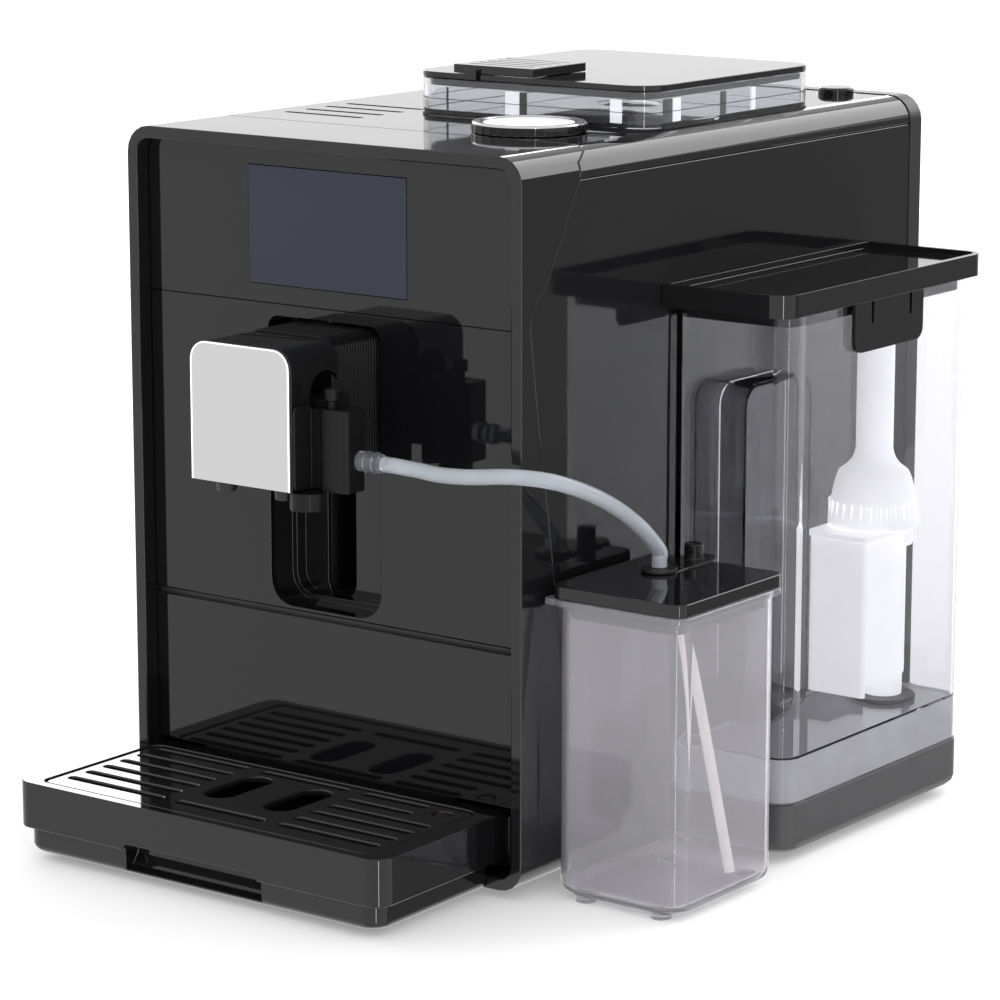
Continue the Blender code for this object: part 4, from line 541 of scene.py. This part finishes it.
def plateMesh(name, low, high, radius, steps=10):
    outline = roundedLoop(low, high, radius, steps)
    return stacked(name, [(outline, low.z), (outline, high.z)], False)


def hoopMesh(name, profile, sides=96, shade=shading["part"]):
    loops = []
    for radius, height in profile:
        turns = [tau * i / sides for i in range(sides)]
        loops.append([Vector((radius * cos(turn), radius * sin(turn), height)) for turn in turns])
    return loopsMesh(name, loops, True, shade)


def copyTree():
    # Copies of one part in a row, each turned a little more than the last about +Z
    tree = bpy.data.node_groups.new("copies", "GeometryNodeTree")
    kinds = {
        "Part": "Geometry", "Count": "Int", "Start": "Vector", "Step": "Vector", "Turn": "Float",
        "Material": "Material",
    }
    names = {}
    for label, kind in kinds.items():
        socket = tree.interface.new_socket(label, in_out="INPUT", socket_type="NodeSocket" + kind)
        names[label] = socket.identifier
    tree.interface.new_socket("Copies", in_out="OUTPUT", socket_type="NodeSocketGeometry")
    start = tree.nodes.new("NodeGroupInput")
    end = tree.nodes.new("NodeGroupOutput")
    line = tree.nodes.new("GeometryNodeMeshLine")
    line.mode = "OFFSET"
    index = tree.nodes.new("GeometryNodeInputIndex")
    turned = maths(tree, "MULTIPLY", index.outputs["Index"], start.outputs["Turn"])
    about = tree.nodes.new("ShaderNodeCombineXYZ")
    copies = tree.nodes.new("GeometryNodeInstanceOnPoints")
    whole = tree.nodes.new("GeometryNodeRealizeInstances")
    paint = tree.nodes.new("GeometryNodeSetMaterial")
    tree.links.new(start.outputs["Count"], line.inputs["Count"])
    tree.links.new(start.outputs["Start"], line.inputs["Start Location"])
    tree.links.new(start.outputs["Step"], line.inputs["Offset"])
    tree.links.new(turned, about.inputs["Z"])
    tree.links.new(line.outputs["Mesh"], copies.inputs["Points"])
    tree.links.new(start.outputs["Part"], copies.inputs["Instance"])
    tree.links.new(about.outputs["Vector"], copies.inputs["Rotation"])
    tree.links.new(copies.outputs["Instances"], whole.inputs["Geometry"])
    tree.links.new(whole.outputs["Geometry"], paint.inputs["Geometry"])
    tree.links.new(start.outputs["Material"], paint.inputs["Material"])
    tree.links.new(paint.outputs["Geometry"], end.inputs["Copies"])
    return tree, names


copyGroup, copyNames = copyTree()


def repeated(name, mesh, look, body, count, start, step=(0, 0, 0), turn=0.0):
    made = newObject(name, mesh, look, None)
    modifier = made.modifiers.new("copies", "NODES")
    modifier.node_group = copyGroup
    values = {"Count": count, "Start": at(*start), "Step": step, "Turn": turn, "Material": materials[look]}
    for label, value in values.items():
        modifier[copyNames[label]] = value
    settle(made)
    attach(made, body)


# Bean hopper: bright and black bars behind its walls as painted reflections, a seam round the middle and a
# seal under it
hopper = {
    "front": 0.118,
    "rear": 0.266,
    "left": 0.0807,
    "right": 0.222,
    "corner": 0.015,
    "inset": 0.0024,
    "depth": 0.001,
    "foot": 0.3481,
    "head": 0.3592,
    "paintedReflectionBars": [
        ("painted_highlight", "front", 0.1369, 0.1452),
        ("gloss_black", "front", 0.1454, 0.1494),
        ("gloss_black", "front", 0.1012, 0.1020),
        ("painted_highlight", "front", 0.1985, 0.2050),
        ("gloss_black", "side", 0.1335, 0.1400),
        ("painted_highlight", "side", 0.1402, 0.1470),
        ("gloss_black", "side", 0.1818, 0.1860),
        ("painted_highlight", "side", 0.2084, 0.2120),
    ],
    "bands": [("hopperSeam", 0.3533, 0.3536, 0.0001), ("hopperSeal", 0.34525, 0.34605, 0.0004)],
}
near = hopper["front"] + hopper["inset"]
far = hopper["right"] - hopper["inset"]
for i, (look, wall, first, last) in enumerate(hopper["paintedReflectionBars"]):
    if wall == "front":
        low, high = (first, near, hopper["foot"]), (last, near + hopper["depth"], hopper["head"])
    else:
        low, high = (far - hopper["depth"], first, hopper["foot"]), (far, last, hopper["head"])
    newObject("hopperBar%d" % i, blockMesh("hopperBar", at(*low), at(*high)), look, bodyOf("hopper_body"))
for name, foot, head, grow in hopper["bands"]:
    low = at(hopper["left"] - grow, hopper["front"] - grow, foot)
    high = at(hopper["right"] + grow, hopper["rear"] + grow, head)
    mesh = bandMesh(name, low, high, hopper["corner"] + grow, grow)
    newObject(name, mesh, "matte_black", bodyOf("hopper_body"))
print("hopper details made")

# Knob: a ribbed band round its side, and rings and a white face in its dished top
knob = {
    "centre": (0.1745, 0.088, 0),
    "radius": 0.027,
    "foot": 0.34565,
    "head": 0.3494,
    "band": 0.00018,
    "ribs": 30,
    "rib": (0.0004, 0.0026, 0.0034),
    "ribEdge": 0.0003,
    "dish": 0.34955,
    "rings": (0.0236, 0.0222),
    "ringWidth": 0.0003,
    "ringHeight": 0.0002,
    "face": (0.0002, 0.0216),
    "faceHeight": 0.0001,
}


def washer(name, look, inner, outer, foot, head):
    # A flat ring round the knob's axis
    mesh = hoopMesh(name, [(inner, foot), (outer, foot), (outer, head), (inner, head)])
    mesh.transform(Matrix.Translation(at(*knob["centre"])))
    newObject(name, mesh, look, "knob")


edge, dish = knob["radius"], knob["dish"]
washer("knobBand", "gloss_black", edge, edge + knob["band"], knob["foot"], knob["head"])
deep, wide, tall = knob["rib"]
low, high = (edge, -wide / 2, knob["foot"]), (edge + deep, wide / 2, knob["foot"] + tall)
rib = blockMesh("knobRib", low, high, knob["ribEdge"])
repeated("knobRibs", rib, "gloss_black", "knob", knob["ribs"], knob["centre"], turn=tau / knob["ribs"])
for radius in knob["rings"]:
    washer("knobRing", "matte_black", radius, radius + knob["ringWidth"], dish, dish + knob["ringHeight"])
washer("knobFace", "white", *knob["face"], dish, dish + knob["faceHeight"])
print("knob details made")

# Water tank: the pocket in its inner wall, and the frosted band and plate in its foot
tankPocket = {
    "left": 0.2390,
    "right": 0.2540,
    "front": 0.1560,
    "rear": 0.2140,
    "foot": 0.0525,
    "head": 0.2220,
    "corner": 0.011,
    "steps": 8,
    "wall": 0.0016,
    "chamfer": 0.8,
    "shade": 50,
}
tankBand = {"low": (0.2377, 0.1225, 0.0300), "high": (0.3012, 0.2840, 0.0511), "corner": 0.01, "wall": 0.0008}
tankPlate = {"low": (0.2419, 0.1262, 0.0478), "high": (0.2970, 0.2803, 0.0486), "corner": 0.0062}


def pocketMesh(spec):
    # A shell that is open towards the machine: inside first, then outside, then the chamfer of its end
    def loop(x, grow):
        low = Vector((spec["front"] + grow, spec["foot"], 0))
        high = Vector((spec["rear"] - grow, spec["head"] - grow, 0))
        outline = roundedLoop(low, high, spec["corner"] - grow, spec["steps"])
        return [at(x, y, z) for y, z in outline]

    wall, bend = spec["wall"], spec["right"] - spec["wall"]
    loops = [
        loop(bend, wall), loop(spec["left"], wall), loop(spec["left"], 0), loop(bend, 0),
        loop(spec["right"], spec["chamfer"] * wall),
    ]
    return loopsMesh("tankPocket", loops, False, spec["shade"])


newObject("tankPocket", pocketMesh(tankPocket), "clear", bodyOf("water_tank"))
low, high = at(*tankBand["low"]), at(*tankBand["high"])
mesh = bandMesh("tankBand", low, high, tankBand["corner"], tankBand["wall"])
newObject("tankBand", mesh, "frosted", bodyOf("water_tank"))
mesh = plateMesh("tankPlate", at(*tankPlate["low"]), at(*tankPlate["high"]), tankPlate["corner"])
newObject("tankPlate", mesh, "frosted", bodyOf("water_tank"))
print("tank details made")

# Filter: fine ribs round the shoulder of its cap
cap = {
    "start": (0.2677, 0.2505, 0.1425),
    "radius": 0.0217,
    "ribs": 28,
    "rib": (0.0008, 0.0016, 0.011),
    "ribEdge": 0.0006,
}
deep, wide, tall = cap["rib"]
low, high = (cap["radius"], -wide / 2, 0), (cap["radius"] + deep, wide / 2, tall)
rib = blockMesh("capRib", low, high, cap["ribEdge"])
body = bodyOf("filter_cap")
repeated("capRibs", rib, "filter_white", body, cap["ribs"], cap["start"], turn=tau / cap["ribs"])

# Milk connection: two ridges round the sleeve
ridges = {
    "start": (0.1745, -0.0354, 0.2065),
    "radius": 0.0046,
    "proud": 0.0005,
    "width": 0.0012,
    "crest": (0.2, 0.8),
    "sides": 48,
    "count": 2,
    "step": (0.005, 0, 0),
}
foot, top = ridges["radius"], ridges["radius"] + ridges["proud"]
first, last = (share * ridges["width"] for share in ridges["crest"])
profile = [(foot, 0), (top, first), (top, last), (foot, ridges["width"])]
ridge = hoopMesh("ridge", profile, ridges["sides"], shading["ridge"])
ridge.transform(Matrix.Rotation(pi / 2, 4, "Y"))
body = bodyOf("hose_sleeve")
repeated("sleeveRidges", ridge, "sleeve", body, ridges["count"], ridges["start"], ridges["step"])

# Rear: crosses in the screw heads
screws = {
    "left": 0.018,
    "face": 0.34795,
    "heights": (0.022, 0.327),
    "count": 2,
    "step": (0.199, 0, 0),
    "blades": {"across": (0.0021, 0.0003, 0.0004), "upright": (0.0004, 0.0003, 0.0021)},
}
for height in screws["heights"]:
    start = (screws["left"], screws["face"], height)
    for name, size in screws["blades"].items():
        blade = blockMesh(name, [-value for value in size], size)
        repeated("screw_" + name, blade, "matte_black", "machine", screws["count"], start, screws["step"])

# Inside: chips on the control board
chips = {
    "size": (0.009, 0.0012, 0.006),
    "start": (0.072, 0.0188, 0.285),
    "count": 4,
    "step": (0.024, 0, 0.006),
}
chip = blockMesh("chip", (0, 0, 0), chips["size"])
repeated("boardChips", chip, "matte_black", "machine", chips["count"], chips["start"], chips["step"])
print("small details made")

# Milk hose
hose = {
    "start": (0.18415, -0.0354, 0.2065),
    "end": (0.2655, 0.0662, 0.1519),
    "lead": 0.0036,
    "route": [
        (0.2000, -0.0303, 0.2047),
        (0.2103, -0.0270, 0.2033),
        (0.2233, -0.0220, 0.2031),
        (0.2349, -0.0150, 0.2036),
        (0.2429, -0.0070, 0.2027),
        (0.2502, 0.0020, 0.2005),
        (0.2561, 0.0130, 0.1962),
        (0.2594, 0.0240, 0.1910),
        (0.2620, 0.0360, 0.1842),
        (0.2640, 0.0470, 0.1765),
        (0.2652, 0.0560, 0.1690),
    ],
    "radius": 0.0036,
    "bore": 0.0022,
    "sides": 32,
    "steps": 6,
}


def smoothLine(points, steps):
    # A curve through all the points
    rounded = []
    for i in range(len(points) - 1):
        before = points[max(i - 1, 0)]
        first, second = points[i], points[i + 1]
        after = points[min(i + 2, len(points) - 1)]
        for step in range(steps):
            t = step / steps
            straight = (second - before) * t
            bent = (2 * before - 5 * first + 4 * second - after) * t * t
            turned = (3 * first - before - 3 * second + after) * t ** 3
            rounded.append(0.5 * (2 * first + straight + bent + turned))
    rounded.append(points[-1])
    return rounded


def crossings(points):
    # Two directions square to the line at each point, turning with it as little as they can
    tangents = []
    for i in range(len(points)):
        tangents.append((points[min(i + 1, len(points) - 1)] - points[max(i - 1, 0)]).normalized())
    side = tangents[0].orthogonal().normalized()
    found = []
    for tangent in tangents:
        side = (side - tangent * side.dot(tangent)).normalized()
        found.append((side, tangent.cross(side)))
    return found


def tubeMesh(name, points, radius, sides, bore=None):
    vertices, faces = [], []
    turns = crossings(points)
    for reach in (radius, bore) if bore else (radius,):
        for point, (side, up) in zip(points, turns):
            for i in range(sides):
                angle = tau * i / sides
                vertices.append(point + side * reach * cos(angle) + up * reach * sin(angle))
    count = len(points) * sides
    last = count - sides
    for start in range(0, len(vertices), count):
        for row in range(start, start + last, sides):
            for i in range(sides):
                j = (i + 1) % sides
                quad = [row + i, row + j, row + sides + j, row + sides + i]
                faces.append(quad[::-1] if start else quad)
    if bore:
        for i in range(sides):
            j = (i + 1) % sides
            faces.append([i, count + i, count + j, j])
            faces.append([last + i, last + j, count + last + j, count + last + i])
    else:
        faces.append(list(range(sides))[::-1])
        faces.append([last + i for i in range(sides)])
    mesh = bpy.data.meshes.new(name)
    mesh.from_pydata(vertices, [], faces)
    fixNormals(mesh)
    shadeSmooth(mesh, shading["tube"])
    return mesh


def buildHose(spec):
    start, end = at(*spec["start"]), at(*spec["end"])
    ahead, up = Vector((spec["lead"], 0, 0)), Vector((0, 0, spec["lead"]))
    marks = [start, start + ahead, start + 2 * ahead]
    marks += [at(*point) for point in spec["route"]]
    marks += [end + 2 * up, end + up, end]
    line = smoothLine(marks, spec["steps"])
    mesh = tubeMesh("hose", line, spec["radius"], spec["sides"], spec["bore"])
    made = newObject("milkHose", mesh, "hose_blue", None)
    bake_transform(made)
    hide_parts("milk_hose")


buildHose(hose)

# Front plate: a painted highlight, a bright line round its edge
plateHighlight = {
    "left": 0.08865,
    "right": 0.14635,
    "foot": 0.1923,
    "head": 0.2566,
    "face": -0.0570,
    "corner": 0.0086,
    "steps": 8,
    "radius": 0.00035,
    "sides": 10,
}


def plateLine(spec):
    radius, steps = spec["corner"], spec["steps"]
    top = spec["head"] - radius
    line = [at(spec["right"], spec["face"], spec["foot"])]
    for quarter, x in enumerate((spec["right"] - radius, spec["left"] + radius)):
        for i in range(steps + 1):
            angle = (quarter + i / steps) * pi / 2
            line.append(at(x + radius * cos(angle), spec["face"], top + radius * sin(angle)))
    line.append(at(spec["left"], spec["face"], spec["foot"]))
    return line


mesh = tubeMesh("plateHighlight", plateLine(plateHighlight), plateHighlight["radius"], plateHighlight["sides"])
newObject("plateHighlight", mesh, "painted_highlight", bodyOf("spout_plate"))
print("plate edge made")

# Floor, world and lights
stageLook = {
    "half": 30,
    "tone": 0.93,
    "lift": 0.22,
    "rough": 0.9,
    "specks": 300,
    "speckDetail": 2,
    "speckDepth": 0.004,
    "speckTone": 0.8,
    "ambient": 1.0,
}
softboxes = {
    "backLow": {"place": (-1.9, 2.5, 0.47), "aim": (0.1, 0.1, 0.35), "size": (3.6, 0.66), "level": 0.8},
    "backHigh": {"place": (-1.9, 2.5, 1.15), "aim": (0.1, 0.1, 0.35), "size": (3.6, 0.7), "level": 12},
    "edgeLight": {"place": (0.9, 2.1, 1.5), "aim": (0.2, 0.1, 0.35), "size": (2.0, 1.5), "level": 9},
    "cornerLight": {"place": (1.75, -1.3, 0.2), "aim": (0.25, 0, 0.2), "size": (0.10, 2.2), "level": 40},
}
sideCard = {"low": (0.9, 0.4, -1.0), "high": (0.9, 2.6, 0.55), "level": 0.3}
white, black = (1, 1, 1, 1), (0, 0, 0, 1)


def sheet(name, points):
    mesh = bpy.data.meshes.new(name)
    mesh.from_pydata(points, [], [(0, 1, 2, 3)])
    paint = bpy.data.materials.new(name)
    paint.use_nodes = True
    mesh.materials.append(paint)
    made = bpy.data.objects.new(name, mesh)
    scene.collection.objects.link(made)
    return made, paint.node_tree


def buildStage(spec):
    half = spec["half"]
    floor, tree = sheet("floor", [(-half, -half, 0), (half, -half, 0), (half, half, 0), (-half, half, 0)])
    shader = tree.nodes["Principled BSDF"]
    shader.inputs["Roughness"].default_value = spec["rough"]
    shader.inputs["Specular IOR Level"].default_value = 0
    place = tree.nodes.new("ShaderNodeTexCoord")
    specks = noise(tree, place.outputs["Object"], spec["specks"], spec["speckDetail"])
    depth = ramp(tree, specks, (0, 1), (0, spec["speckDepth"]))
    tone, speckTone = ((level, level, level, 1) for level in (spec["tone"], spec["speckTone"]))
    tree.links.new(blendColour(tree, depth, tone, speckTone), shader.inputs["Base Color"])
    light = tree.nodes.new("ShaderNodeLightPath")
    lifted = maths(tree, "MULTIPLY", light.outputs["Is Camera Ray"], spec["lift"])
    shader.inputs["Emission Color"].default_value = white
    tree.links.new(lifted, shader.inputs["Emission Strength"])
    floor.visible_glossy = False
    world = bpy.data.worlds.new("studio")
    world.use_nodes = True
    scene.world = world
    back = world.node_tree.nodes["Background"]
    back.inputs["Color"].default_value = white
    back.inputs["Strength"].default_value = spec["ambient"]


def addSoftbox(name, spec):
    # A light that only reflections see
    place, aim = at(*spec["place"]), at(*spec["aim"])
    across, tall = spec["size"]
    data = bpy.data.lights.new(name, "AREA")
    data.shape = "RECTANGLE"
    data.size, data.size_y = across, tall
    data.energy = spec["level"] * across * tall
    data.diffuse_factor = 0
    made = bpy.data.objects.new(name, data)
    made.location = place
    made.rotation_euler = (aim - place).to_track_quat("-Z", "Y").to_euler()
    made.visible_camera = False
    made.visible_transmission = False
    scene.collection.objects.link(made)


def addCard(name, spec):
    # An upright dim sheet that only reflections see
    (x, y, z), (across, back, top) = at(*spec["low"]), at(*spec["high"])
    made, tree = sheet(name, [(x, y, z), (across, back, z), (across, back, top), (x, y, top)])
    shader = tree.nodes["Principled BSDF"]
    shader.inputs["Base Color"].default_value = black
    shader.inputs["Specular IOR Level"].default_value = 0
    shader.inputs["Emission Color"].default_value = white
    shader.inputs["Emission Strength"].default_value = spec["level"]
    for switch in ("visible_camera", "visible_diffuse", "visible_transmission", "visible_shadow"):
        setattr(made, switch, False)


buildStage(stageLook)
for name, spec in softboxes.items():
    addSoftbox(name, spec)
addCard("sideCard", sideCard)
print("stage set")
